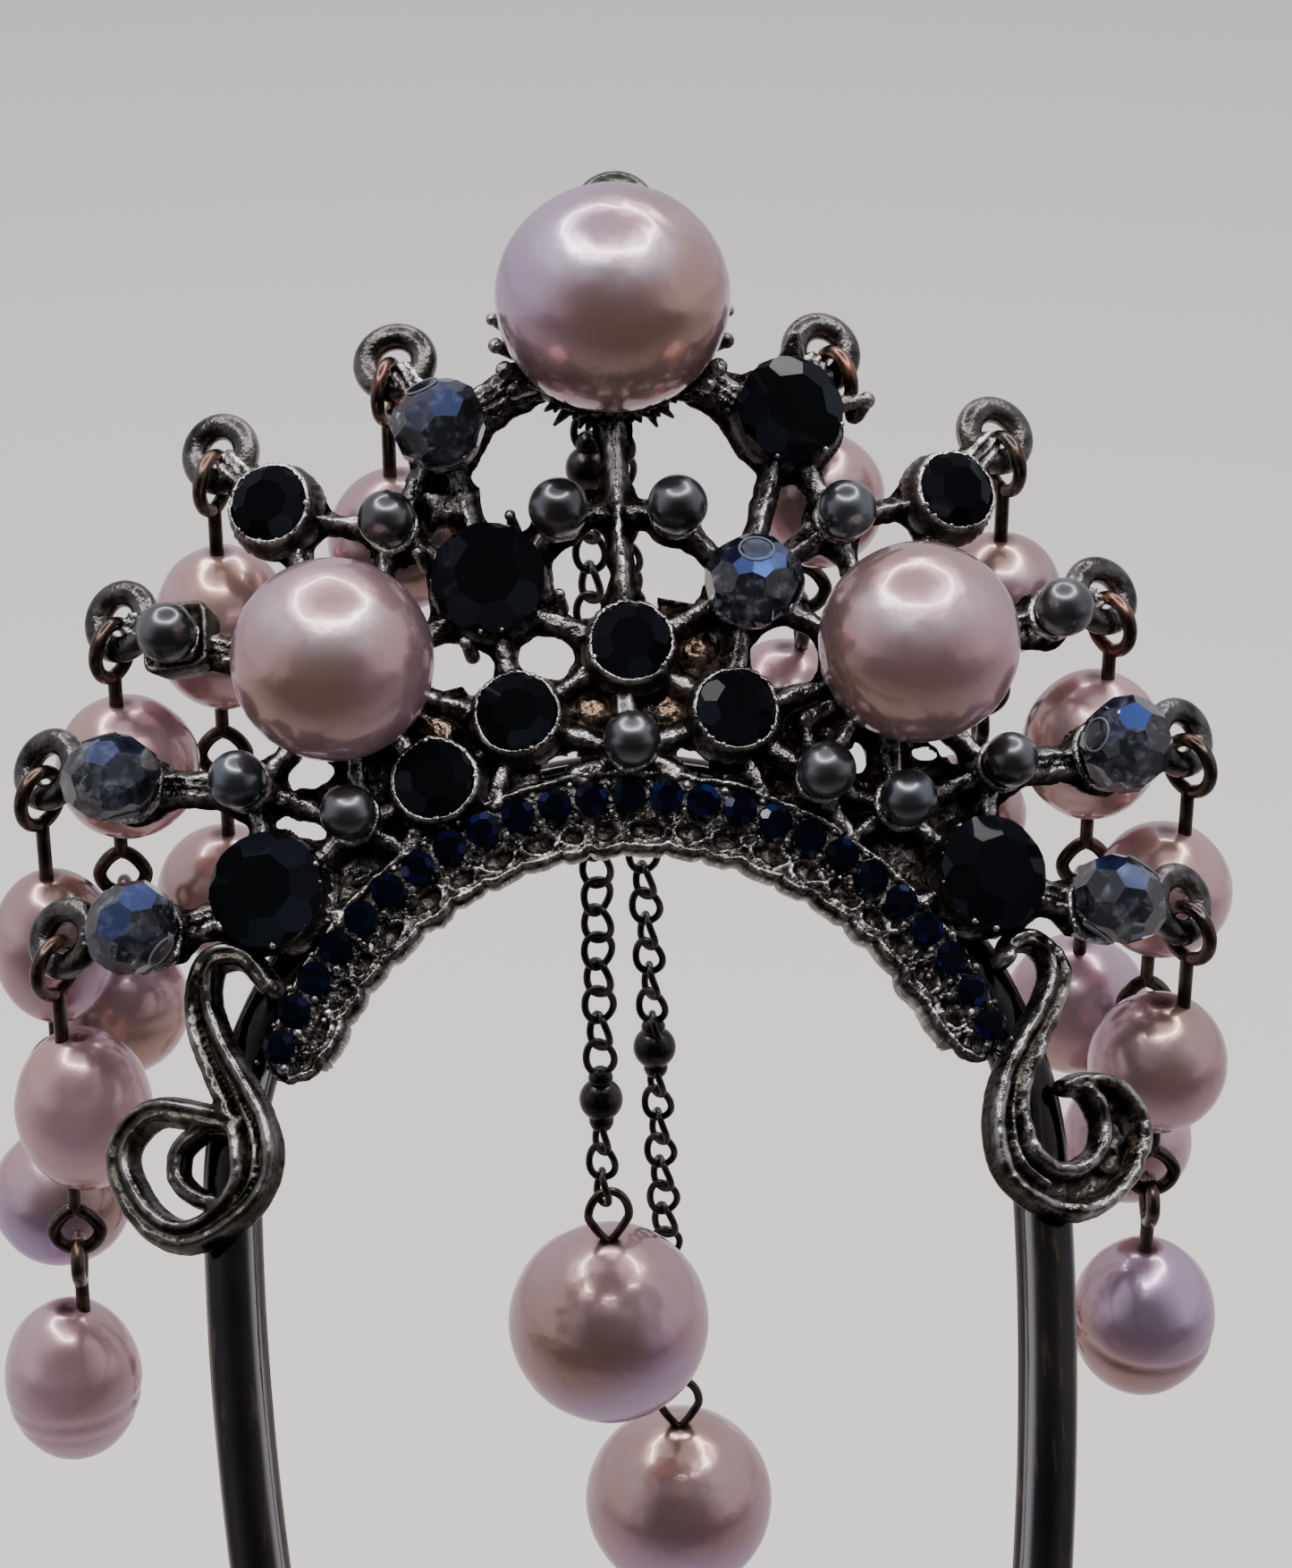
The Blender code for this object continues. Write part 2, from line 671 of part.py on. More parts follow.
def hang_point(loop, side, extra):
    """The place on a loop's wire where a string hangs, the heading of its eye, and the loop's frame.

    A loop hangs its string from its lowest point, which lies further outward the more the crown's
    curve turns the loop; extra moves it outward from there, clear of the loop's arm.
    """
    across, up = loop
    pose = crown_pose(side * across, up)
    lowest = math.atan2(math.sin(across / CROWN_BEND) * math.sin(LEAN), math.cos(LEAN))
    angle = lowest + math.radians(extra)
    around = Vector((side * math.sin(angle), -math.cos(angle), 0.0)) * LOOP_RADIUS
    tangent = pose.to_3x3() @ Vector((math.cos(angle), side * math.sin(angle), 0.0))
    heading = math.atan2(tangent.y, tangent.x) + math.pi / 2
    return pose @ around, heading, pose


def eye_pose(centre, normal_turn):
    """A frame for an upright wire eye, turned round the vertical."""
    return Matrix.Translation(centre) @ Matrix.Rotation(normal_turn, 4, "Z") @ Matrix.Rotation(math.pi / 2, 4, "X")


def add_eye(top, bottom, middle, half_width, turn, round_top, group):
    """An upright wire eye, round at one end and drawn out at the other, between two heights."""
    height = top - half_width if round_top else bottom + half_width
    centre = Vector((middle.x, middle.y, height))
    pose = eye_pose(centre, turn)
    ring("eye", half_width, EYE_WIRE, EYE_SEGMENTS, EYE_SIDES, group, pose, top - height, height - bottom)


def make_string(row, parts, cutters, pearl, places):
    name, loop, side, extra, x1, drop1, r1, h1, x2, drop2, r2, h2, back = row
    group = new_collection(name + "_pieces", cutters)
    hold, turn, pose = hang_point(places[loop], side, extra)
    centre_z = pose.translation.z
    depth = hold.y + 0.15
    upper = Vector((x1, depth, centre_z - drop1))
    lower = Vector((x2, depth + back, centre_z - drop2))
    body = ball("upper", r1, h1, group, upper)
    ball("lower", r2, h2, group, lower)
    eye_top = hold.z + EYE_TOP
    add_eye(eye_top, upper.z + h1 - EYE_SINK, hold, EYE_HALF_WIDTH, turn, True, group)
    top = upper.z - h1
    bottom = lower.z + h2
    meet = (top + bottom) / 2
    middle = Vector(((x1 + x2) / 2, depth + back / 2, 0.0))
    overlap = EYE_WIRE * EYE_OVERLAP / 2
    add_eye(top + EYE_SINK, meet - overlap, middle, LINK_HALF_WIDTH, 0.0, False, group)
    add_eye(meet + overlap, bottom - EYE_SINK, middle, LINK_HALF_WIDTH, math.pi / 2, True, group)
    finish(fuse(name, body, group, parts), pearl)


def make_chain(row, parts, cutters, materials):
    name, top_x, top_back, pearl_x, back, pearl_z, radius = row
    loop = crown_point(*TOP_LOOP)
    top = Vector((TOP_LOOP[0] + top_x, loop.y + top_back, loop.z - CHAIN_TOP_DROP))
    pearl = Vector((pearl_x, loop.y + back, pearl_z))
    group = new_collection(f"chain_pearl_{name}_pieces", cutters)
    body = ball("pearl", radius, radius, group, pearl, 12, 7)
    pearl_top = pearl.z + radius - EYE_SINK
    eye_top = pearl_top + 2 * CHAIN_EYE
    add_eye(eye_top, pearl_top, pearl, LINK_HALF_WIDTH, math.radians(20.0), True, group)
    finish(fuse(f"chain_pearl_{name}", body, group, parts), materials["mauve_pearl"])
    end = Vector((pearl.x + CHAIN_END_SIDE, pearl.y, eye_top + EYE_WIRE + GAP))
    chain = wire(f"chain_{name}", (top, end), CHAIN_TUBE, parts)
    finish(chain, materials["gunmetal"])


def main():
    clear_scene()
    parts = new_collection("tiara_hairpin", bpy.context.scene.collection)
    cutters = new_collection("joined_pieces", bpy.context.scene.collection)
    materials = make_materials()
    makers = {
        "pearl_large": (make_large_pearl, "mauve_pearl"),
        "bead": (make_bead, "grey_pearl"),
        "stone": (make_stone, "navy_glass"),
        "crystal": (make_crystal, "grey_crystal"),
    }
    make_crown(parts, cutters, materials["gunmetal"])
    make_fork(parts, materials["rod_metal"])
    make_stone_row(parts, cutters, materials["navy_glass"])
    for name, kind, across, up, radius in SETTINGS:
        make, material = makers[kind]
        make(name, across, up, radius, parts, materials[material])
    places = named_places()
    for row in STRINGS:
        make_string(row, parts, cutters, materials["mauve_pearl"], places)
    for row in CHAINS:
        make_chain(row, parts, cutters, materials)


main()
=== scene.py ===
# The looks of a tiara hairpin: a cast crown of pearls and stones on a black rod fork, with pearl strings.
# Shapes are worked out in millimetres as numpy arrays and turned into metres when their mesh is made.
# The crown is worked out flat, as (across, up, lift), and bent and leaned back at the end.
import math
import bmesh
import bpy
import numpy as np
from mathutils import Matrix


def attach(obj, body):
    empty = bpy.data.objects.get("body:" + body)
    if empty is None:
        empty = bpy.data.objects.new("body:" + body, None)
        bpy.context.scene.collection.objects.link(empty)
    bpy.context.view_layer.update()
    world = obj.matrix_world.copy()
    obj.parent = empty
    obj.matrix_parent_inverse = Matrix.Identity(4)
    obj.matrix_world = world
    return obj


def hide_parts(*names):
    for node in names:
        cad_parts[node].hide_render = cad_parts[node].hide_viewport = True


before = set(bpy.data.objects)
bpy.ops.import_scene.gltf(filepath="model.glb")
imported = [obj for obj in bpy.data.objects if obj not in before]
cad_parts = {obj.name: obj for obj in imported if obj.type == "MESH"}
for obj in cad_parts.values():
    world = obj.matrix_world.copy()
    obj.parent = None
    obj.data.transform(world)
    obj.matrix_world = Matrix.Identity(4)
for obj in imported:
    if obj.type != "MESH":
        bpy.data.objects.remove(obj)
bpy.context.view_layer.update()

mm = 0.001
tau = 2 * np.pi
print("stage: frame loaded,", len(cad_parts), "nodes")

# degrees of lean, radius of the bend, how far its middle stands forward, and the lift of the sheet's back
crown = {"lean": 44.0, "bend": 60.0, "front": 6.0, "back": -0.72}

settings = {  # name: kind, across, up, radius
    "pearl_top": ("pearl", 0.0, 44.0, 6.05), "pearl_left": ("pearl", -14.0, 25.7, 5.15),
    "pearl_right": ("pearl", 14.0, 25.7, 5.15),
    "bead_01": ("bead", -11.5, 33.6, 1.5), "bead_02": ("bead", -2.95, 33.6, 1.55),
    "bead_03": ("bead", 2.95, 33.6, 1.55), "bead_04": ("bead", 11.5, 33.5, 1.55),
    "bead_05": ("bead", -23.1, 28.9, 1.4), "bead_06": ("bead", 23.1, 29.0, 1.55),
    "bead_07": ("bead", -19.4, 20.5, 1.5), "bead_08": ("bead", -13.8, 18.15, 1.42),
    "bead_09": ("bead", 0.2, 21.1, 1.45), "bead_10": ("bead", 9.7, 19.4, 1.5),
    "bead_11": ("bead", 13.8, 18.05, 1.48), "bead_12": ("bead", 19.4, 20.4, 1.42),
    "stone_01": ("stone", -17.75, 35.4, 2.0), "stone_02": ("stone", 9.1, 39.2, 2.7),
    "stone_03": ("stone", -6.6, 30.2, 2.8), "stone_04": ("stone", 17.75, 35.2, 2.0),
    "stone_05": ("stone", 0.4, 26.5, 2.0), "stone_06": ("stone", -5.4, 22.95, 2.0),
    "stone_07": ("stone", 5.5, 22.85, 2.0), "stone_08": ("stone", -9.6, 19.7, 2.0),
    "stone_09": ("stone", -18.25, 14.7, 2.85), "stone_10": ("stone", 18.35, 14.5, 2.85),
    "crystal_01": ("crystal", -8.7, 38.4, 2.45), "crystal_02": ("crystal", 6.5, 29.3, 2.45),
    "crystal_03": ("crystal", -26.0, 21.4, 2.45), "crystal_04": ("crystal", -24.9, 13.3, 2.4),
    "crystal_05": ("crystal", 25.8, 21.6, 2.45), "crystal_06": ("crystal", 24.7, 13.2, 2.4),
}
seatLift = {"pearl": 4.7, "bead": 2.35, "stone": 1.75, "crystal": 2.85}  # from the sheet to each one's middle
sidePearl = 5.15  # radius of the side pearls; a bigger pearl stands out by as much more
bigStone = 2.3  # stones above this radius lie over their rims


def seatOf(kind, radius):
    return seatLift[kind] + (radius - sidePearl if kind == "pearl" else 0.0)


loopSpots = {
    "loop_1": (11.3, 43.1), "loop_2": (21.0, 39.2), "loop_3": (26.9, 30.8), "loop_4": (31.4, 23.4),
    "loop_5": (30.4, 14.1),
}
topLoop = (0.6, 51.1)

latticeSpots = {  # ends and junctions of the lattice, made on both sides
    "top": (0.0, 44.0), "high": (8.9, 38.8), "inner": (2.95, 33.6), "upper": (11.5, 33.6),
    "near": (6.55, 29.8), "corner": (17.75, 35.3), "edge": (23.1, 28.9), "side": (14.0, 25.7),
    "mid": (5.45, 22.9), "centre": (0.2, 26.5), "bead": (0.1, 21.1), "low": (9.65, 19.5),
    "foot": (13.8, 18.1), "outer": (19.4, 20.4), "wing": (25.9, 21.5), "corner_low": (18.3, 14.6),
    "tip": (24.8, 13.25), "stem_top": (0.0, 38.6), "stem_cross": (0.0, 34.2), "stem_low": (0.2, 29.3),
    "web_low": (9.3, 22.6), "band_0": (2.4, 19.85), "band_1": (6.8, 18.8), "band_2": (11.4, 16.4),
    "band_3": (15.0, 13.2), "scroll_root": (19.6, 10.6),
}
latticeSpots.update(loopSpots)


def leanBack(points):
    # turned about x by the lean: y = y cos + z sin, z = z cos - y sin
    c, s = math.cos(math.radians(crown["lean"])), math.sin(math.radians(crown["lean"]))
    x, y, z = np.moveaxis(np.asarray(points, float), -1, 0)
    return np.stack([x, y * c + z * s, z * c - y * s], -1)


def crownPlace(flat):
    # across bends round a cylinder, then the sheet leans back:
    # x = (bend + lift) sin a, y = bend - front - (bend + lift) cos a, z = up
    angle = flat[..., 0] / crown["bend"]
    reach = crown["bend"] + flat[..., 2]
    x = reach * np.sin(angle)
    y = crown["bend"] - crown["front"] - reach * np.cos(angle)
    return leanBack(np.stack([x, y, flat[..., 1]], -1))


def crownSpot(across, up, lift=0.0):
    return crownPlace(np.array([across, up, lift], float))


def crownFrame(across, up, lift=0.0):
    # the place, and its three directions as rows: sideways, up the sheet, out of its front
    here = crownSpot(across, up, lift)
    step = 0.01
    side = (crownSpot(across + step, up, lift) - here) / step
    rise = (crownSpot(across, up + step, lift) - here) / step
    out = (crownSpot(across, up, lift + step) - here) / step
    return here, np.stack([side / np.linalg.norm(side), rise, out])


def gridShape(points, wrapRows=False, wrapCols=False, **marks):
    # points is a (rows, cols, 3) grid; each cell becomes one four-sided face; marks are values at its points
    rows, cols = points.shape[:2]
    i, j = np.meshgrid(np.arange(rows - (not wrapRows)), np.arange(cols - (not wrapCols)), indexing="ij")
    nextI, nextJ = (i + 1) % rows, (j + 1) % cols
    faces = np.stack(
        [i * cols + j, nextI * cols + j, nextI * cols + nextJ, i * cols + nextJ], -1
    ).reshape(-1, 4)
    flatMarks = {key: np.broadcast_to(value, (rows, cols)).reshape(-1) for key, value in marks.items()}
    return {"points": points.reshape(-1, 3), "faces": faces, "marks": flatMarks}


def joinShapes(shapes):
    # points, faces and marks one shape after the other; a mark that a shape lacks is 0 there
    names = sorted({key for shape in shapes for key in shape["marks"]})
    starts = np.cumsum([0] + [len(shape["points"]) for shape in shapes])
    if isinstance(shapes[0]["faces"], list):
        faces = [face + start for shape, start in zip(shapes, starts) for face in shape["faces"]]
    else:
        faces = np.concatenate([shape["faces"] + start for shape, start in zip(shapes, starts)])
    marks = {}
    for key in names:
        marks[key] = np.concatenate(
            [shape["marks"].get(key, np.zeros(len(shape["points"]))) for shape in shapes]
        )
    return {"points": np.concatenate([shape["points"] for shape in shapes]), "faces": faces, "marks": marks}


def withEnds(rows, count):
    # the rows with the first and the last one repeated count times more
    return np.concatenate([np.repeat(rows[:1], count, 0), rows, np.repeat(rows[-1:], count, 0)])


def sweep(path, profile, scale=1.0, out=(0.0, 0.0, 1.0), closed=False, **marks):
    # a closed profile carried along a path; open ends are rounded by three shrinking rings:
    # point = path + scale * (profile x * side + profile y * outward), where side = tangent x out
    path = np.asarray(path, float)
    if closed:
        run = np.roll(path, -1, 0) - np.roll(path, 1, 0)
    else:
        run = np.gradient(path, axis=0)
    run /= np.linalg.norm(run, axis=1, keepdims=True)
    scale = np.broadcast_to(np.asarray(scale, float), (len(path),))
    out = np.broadcast_to(np.asarray(out, float), path.shape)
    marks = {key: np.broadcast_to(value, (len(path), len(profile))) for key, value in marks.items()}
    if not closed:
        bends = np.radians([90.0, 60.0, 30.0])
        reach = np.abs(profile).max()
        first = path[0] - run[0] * (scale[0] * reach * np.sin(bends))[:, None]
        last = path[-1] + run[-1] * (scale[-1] * reach * np.sin(bends[::-1]))[:, None]
        path = np.concatenate([first, path, last])
        scale = np.concatenate([scale[0] * np.cos(bends), scale, scale[-1] * np.cos(bends[::-1])])
        run, out = withEnds(run, len(bends)), withEnds(out, len(bends))
        marks = {key: withEnds(values, len(bends)) for key, values in marks.items()}
    side = np.cross(run, out)
    side /= np.linalg.norm(side, axis=1, keepdims=True)
    face = np.cross(side, run)
    spread = profile[None, :, :1] * side[:, None] + profile[None, :, 1:] * face[:, None]
    grid = path[:, None] + scale[:, None, None] * spread
    return gridShape(grid, closed, True, **marks)


def roundProfile(radius, sides):
    turn = np.arange(sides) / sides * tau
    return radius * np.stack([np.cos(turn), np.sin(turn)], -1)


def revolve(rows, marks, sides, place, axes, wobble=None):
    # rows of radius, height and one value for each mark, turned round the third axis:
    # point = place + radius (cos t * axis 1 + sin t * axis 2) + height * axis 3
    turn = (np.arange(sides) / sides * tau)[None, :]
    radius, height, *values = np.repeat(np.asarray(rows, float).T[..., None], sides, 2)
    if wobble is not None:
        radius, height = wobble(radius, height, turn)
    around = np.cos(turn)[..., None] * axes[0] + np.sin(turn)[..., None] * axes[1]
    grid = place + radius[..., None] * around + height[..., None] * axes[2]
    return gridShape(grid, False, True, **dict(zip(marks, values)))


def ballShape(place, radius, rings, sides, wear, grime):
    polar = np.linspace(0, np.pi, rings)
    rows = [(radius * math.sin(angle), radius * math.cos(angle), wear, grime) for angle in polar]
    return revolve(rows, ("wear", "grime"), sides, np.asarray(place, float), np.eye(3))


def smoothCurve(rows, count):
    # a smooth curve through the rows: cubic blend of four
    # neighbours (Catmull-Rom), evenly spread over the rows
    rows = np.asarray(rows, float)
    padded = np.concatenate([2 * rows[:1] - rows[1:2], rows, 2 * rows[-1:] - rows[-2:-1]])
    t = np.linspace(0, len(rows) - 1 - 1e-9, count)
    i = t.astype(int)
    u = (t - i)[:, None]
    p0, p1, p2, p3 = padded[i], padded[i + 1], padded[i + 2], padded[i + 3]
    straight = 2 * p1 + (p2 - p0) * u
    return 0.5 * (straight + (2 * p0 - 5 * p1 + 4 * p2 - p3) * u**2 + (3 * p1 - p0 - 3 * p2 + p3) * u**3)


def valueNoise(x, y, size, seed):
    # random heights on a square net of the given size, blended smoothly between its corners, from -1 to 1
    net = np.random.default_rng(seed).uniform(-1, 1, (97, 97))
    gx, gy = x / size + 40.3, y / size + 40.7
    i, j = np.floor(gx).astype(int) % 96, np.floor(gy).astype(int) % 96
    u, v = gx - np.floor(gx), gy - np.floor(gy)
    u, v = u * u * (3 - 2 * u), v * v * (3 - 2 * v)
    low = net[i, j] * (1 - u) + net[i + 1, j] * u
    high = net[i, j + 1] * (1 - u) + net[i + 1, j + 1] * u
    return low * (1 - v) + high * v


def layeredNoise(x, y, layers):
    # the sum of several noises, each of its own size, seed and height
    return sum(valueNoise(x, y, size, seed) * high for size, seed, high in layers)


def makePiece(name, shape, material, nodes=(), smooth=True, merge=True):
    # the arrays become a mesh in metres; doubled points at poles and caps are merged and faces turned outward
    mesh = bpy.data.meshes.new(name)
    points, faces = shape["points"] * mm, shape["faces"]
    mesh.vertices.add(len(points))
    mesh.vertices.foreach_set("co", points.astype(np.float32).ravel())
    if isinstance(faces, np.ndarray):
        loops, sizes = faces.ravel(), np.full(len(faces), faces.shape[1])
    else:
        loops, sizes = np.concatenate(faces), np.array([len(face) for face in faces])
    mesh.loops.add(len(loops))
    mesh.loops.foreach_set("vertex_index", loops.astype(np.int32))
    mesh.polygons.add(len(sizes))
    mesh.polygons.foreach_set("loop_start", np.concatenate([[0], np.cumsum(sizes)[:-1]]).astype(np.int32))
    mesh.polygons.foreach_set("loop_total", sizes.astype(np.int32))
    mesh.update(calc_edges=True)
    for key, values in shape["marks"].items():
        layer = mesh.attributes.new(key, "FLOAT", "POINT")
        layer.data.foreach_set("value", values.astype(np.float32))
    if merge:
        work = bmesh.new()
        work.from_mesh(mesh)
        bmesh.ops.remove_doubles(work, verts=work.verts, dist=1e-7)
        bmesh.ops.recalc_face_normals(work, faces=work.faces)
        work.to_mesh(mesh)
        work.free()
    mesh.polygons.foreach_set("use_smooth", np.full(len(mesh.polygons), smooth))
    mesh.materials.append(material)
    piece = bpy.data.objects.new(name, mesh)
    bpy.context.scene.collection.objects.link(piece)
    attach(piece, "root")
    if nodes:
        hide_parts(*nodes)
    mesh.update()
    return piece


class Finish:
    # a node tree and short ways to add to it; what goes into a socket is a number, a colour or another socket
    def __init__(self, tree):
        self.tree = tree

    def join(self, value, socket):
        if isinstance(value, bpy.types.NodeSocket):
            self.tree.links.new(value, socket)
        elif socket.type == "RGBA":
            socket.default_value = (*value, 1.0)
        else:
            socket.default_value = value

    def add(self, kind, *values, **named):
        # a node; values fill its inputs in order, names are inputs or else settings
        node = self.tree.nodes.new("ShaderNode" + kind)
        for key, value in named.items():
            if key in node.inputs:
                self.join(value, node.inputs[key])
            else:
                setattr(node, key, value)
        for socket, value in zip(node.inputs, values):
            self.join(value, socket)
        return node

    def where(self):
        return self.add("TexCoord").outputs["Object"]

    def mark(self, name):
        return self.add("Attribute", attribute_name=name).outputs["Fac"]

    def noise(self, scale, detail=3.0, roughness=0.55, where=None):
        place = self.where() if where is None else where
        return self.add("TexNoise", place, Scale=scale, Detail=detail, Roughness=roughness).outputs["Fac"]

    def maths(self, operation, *values, clamp=False):
        return self.add("Math", *values, operation=operation, use_clamp=clamp).outputs[0]

    def mapped(self, value, low, high, toLow=0.0, toHigh=1.0):
        return self.add("MapRange", value, low, high, toLow, toHigh).outputs["Result"]

    def mix(self, share, first, second):
        node = self.add("Mix", share, data_type="RGBA")
        self.join(first, node.inputs[6])
        self.join(second, node.inputs[7])
        return node.outputs[2]

    def bump(self, height, strength, distance):
        return self.add("Bump", Height=height, Strength=strength, Distance=distance).outputs["Normal"]

    def shade(self, values):
        for label, value in values.items():
            self.join(value, self.tree.nodes["Principled BSDF"].inputs[label])


def newMaterial(name):
    material = bpy.data.materials.new(name)
    material.use_nodes = True
    return material, Finish(material.node_tree)


castTints = {
    "polished": (0.02, 0.019, 0.015), "paler": (0.055, 0.052, 0.041), "warm": (0.3, 0.2, 0.13),
    "grime": (0.022, 0.015, 0.011),
}


def makeCastGroup():
    # cast metal: speckles of two darks, bright where it is worn,
    # brown where it is dirty or warm, calmer where polished
    group = bpy.data.node_groups.new("castSurface", "ShaderNodeTree")
    for label in ("Dark", "Metal", "Bright"):
        group.interface.new_socket(label, in_out="INPUT", socket_type="NodeSocketColor")
    for label in ("Wear", "Grime", "Warm", "Polish", "Grain"):
        group.interface.new_socket(label, in_out="INPUT", socket_type="NodeSocketFloat")
    group.interface.new_socket("Color", in_out="OUTPUT", socket_type="NodeSocketColor")
    group.interface.new_socket("Roughness", in_out="OUTPUT", socket_type="NodeSocketFloat")
    group.interface.new_socket("Height", in_out="OUTPUT", socket_type="NodeSocketFloat")
    enter = group.nodes.new("NodeGroupInput").outputs
    leave = group.nodes.new("NodeGroupOutput").inputs
    cast = Finish(group)
    coarse = cast.noise(enter["Grain"], roughness=0.5)
    fine = cast.noise(5200.0, 2.0, 0.5)
    patchy = cast.noise(560.0, 3.0, 0.5)
    calm = cast.maths("MULTIPLY_ADD", enter["Polish"], -0.85, 1.0)
    edges = cast.maths("MULTIPLY", enter["Wear"], cast.mapped(patchy, 0.38, 0.62, 0.1, 1.0), clamp=True)
    speckled = cast.mix(cast.mapped(coarse, 0.4, 0.6), enter["Dark"], enter["Metal"])
    even = cast.mix(cast.mapped(patchy, 0.35, 0.65), castTints["polished"], castTints["paler"])
    base = cast.mix(enter["Polish"], speckled, even)
    shone = cast.mix(cast.maths("MULTIPLY", edges, calm), base, enter["Bright"])
    warmed = cast.mix(enter["Warm"], shone, castTints["warm"])
    cast.join(cast.mix(enter["Grime"], warmed, castTints["grime"]), leave["Color"])
    rough = cast.mapped(patchy, 0.3, 0.7, 0.16, 0.34)
    cast.join(cast.maths("MULTIPLY_ADD", enter["Grime"], 0.25, rough, clamp=True), leave["Roughness"])
    height = cast.maths("MULTIPLY_ADD", fine, 0.4, coarse)
    smooth = cast.maths("MULTIPLY_ADD", enter["Polish"], -0.9, 1.0)
    cast.join(cast.maths("MULTIPLY", height, smooth), leave["Height"])
    return group


castGroup = makeCastGroup()
castLooks = {  # the two tints of the speckles, the tint of worn places, how fine the grain is and how deep
    "castGunmetal": {
        "Dark": (0.022, 0.021, 0.02), "Metal": (0.125, 0.12, 0.117), "Bright": (0.85, 0.83, 0.82),
        "Grain": 2200.0, "bump": 1.3
    },
    "loopMetal": {
        "Dark": (0.026, 0.025, 0.024), "Metal": (0.085, 0.081, 0.079), "Bright": (0.8, 0.78, 0.77),
        "Grain": 1300.0, "bump": 0.5
    },
    "wireMetal": {
        "Dark": (0.04, 0.035, 0.032), "Metal": (0.11, 0.097, 0.088), "Bright": (0.5, 0.24, 0.15),
        "Grain": 900.0, "bump": 0.15
    },
    "chainMetal": {
        "Dark": (0.018, 0.018, 0.018), "Metal": (0.05, 0.049, 0.048), "Bright": (0.18, 0.17, 0.16),
        "Grain": 1200.0, "bump": 0.2
    },
}


def makeCastMetal(name):
    look = castLooks[name]
    material, finish = newMaterial(name)
    surface = finish.tree.nodes.new("ShaderNodeGroup")
    surface.node_tree = castGroup
    for label in ("Dark", "Metal", "Bright", "Grain"):
        finish.join(look[label], surface.inputs[label])
    for label in ("Wear", "Grime", "Warm", "Polish"):
        finish.join(finish.mark(label.lower()), surface.inputs[label])
    finish.shade({
        "Base Color": surface.outputs["Color"], "Roughness": surface.outputs["Roughness"], "Metallic": 1.0,
        "Normal": finish.bump(surface.outputs["Height"], look["bump"], 0.00012),
    })
    return material


def makePearl(name, look):
    # nacre: slow clouds between three tints, a painted pale lilac glow where the lamp's highlight falls,
    # a brown rim at the drilled holes, a metal-like glow under a clear coat
    material, finish = newMaterial(name)
    clouds = finish.noise(look["clouds"], 2.0, 0.5)
    tint = finish.mix(finish.mapped(clouds, 0.38, 0.6), look["deep"], look["body"])
    veil = finish.mapped(finish.noise(look["clouds"] * 0.55, 1.0, 0.4), 0.52, 0.7, 0.0, 0.8)
    tint = finish.mix(veil, tint, look["overtone"])
    patchy = finish.mapped(finish.noise(330.0, 3.0, 0.6), 0.36, 0.6, 0.35, 1.0)
    # painted highlight: a pale lilac glow mixed into the colour where the painted glow mark is high
    tint = finish.mix(finish.maths("MULTIPLY", finish.mark("orient"), patchy), tint, look["orient"])
    ripple = finish.noise(look["ripple"], 2.0, 0.5)
    skin = finish.maths("MULTIPLY_ADD", finish.noise(900.0, 2.0, 0.5), 0.12, ripple)
    bumped = finish.bump(skin, look["bump"], 0.0005)
    finish.shade({
        "Base Color": finish.mix(finish.mark("hole"), tint, holeTint),
        "Roughness": finish.mapped(clouds, 0.3, 0.7, look["rough"] - 0.05, look["rough"] + 0.06),
        "Normal": bumped, "Coat Normal": bumped, "Metallic": look["metallic"], "Specular Tint": look["edge"],
        "Coat Weight": look["coat"], "Coat Roughness": 0.05, "Coat IOR": 1.48,
        "Sheen Weight": look["sheen"], "Sheen Roughness": 0.3, "Sheen Tint": (0.82, 0.72, 1.0),
    })
    return material


holeTint = (0.07, 0.035, 0.025)
mauveLook = {
    "clouds": 130.0, "ripple": 260.0, "bump": 0.42, "rough": 0.26, "metallic": 0.74, "coat": 0.8,
    "sheen": 0.05, "deep": (0.41, 0.265, 0.225), "body": (0.5, 0.32, 0.35), "overtone": (0.48, 0.37, 0.62),
    "orient": (0.9, 0.85, 1.0), "edge": (0.72, 0.58, 0.76),
}
pinkLook = dict(
    mauveLook, deep=(0.47, 0.3, 0.25), body=(0.56, 0.34, 0.36), overtone=(0.53, 0.37, 0.5), metallic=0.6,
    ripple=240.0,
)
greyLook = {
    "clouds": 300.0, "ripple": 500.0, "bump": 0.14, "rough": 0.27, "metallic": 0.95, "coat": 0.2,
    "sheen": 0.0, "deep": (0.085, 0.088, 0.094), "body": (0.155, 0.163, 0.175),
    "overtone": (0.155, 0.18, 0.215), "orient": (0.2, 0.21, 0.23), "edge": (1.0, 1.0, 1.0),
}
gunmetal = makeCastMetal("castGunmetal")
loopMetal = makeCastMetal("loopMetal")
wireMetal = makeCastMetal("wireMetal")
chainMetal = makeCastMetal("chainMetal")
pearlMauve = makePearl("pearlMauve", mauveLook)
pearlPink = makePearl("pearlPink", pinkLook)
pearlGrey = makePearl("pearlGrey", greyLook)


rodLook = {
    "dark": (0.02, 0.019, 0.0195), "pale": (0.038, 0.036, 0.036), "worn": (0.11, 0.075, 0.055),
    "rubbed": (0.3, 0.29, 0.29), "bump": 0.1,
}


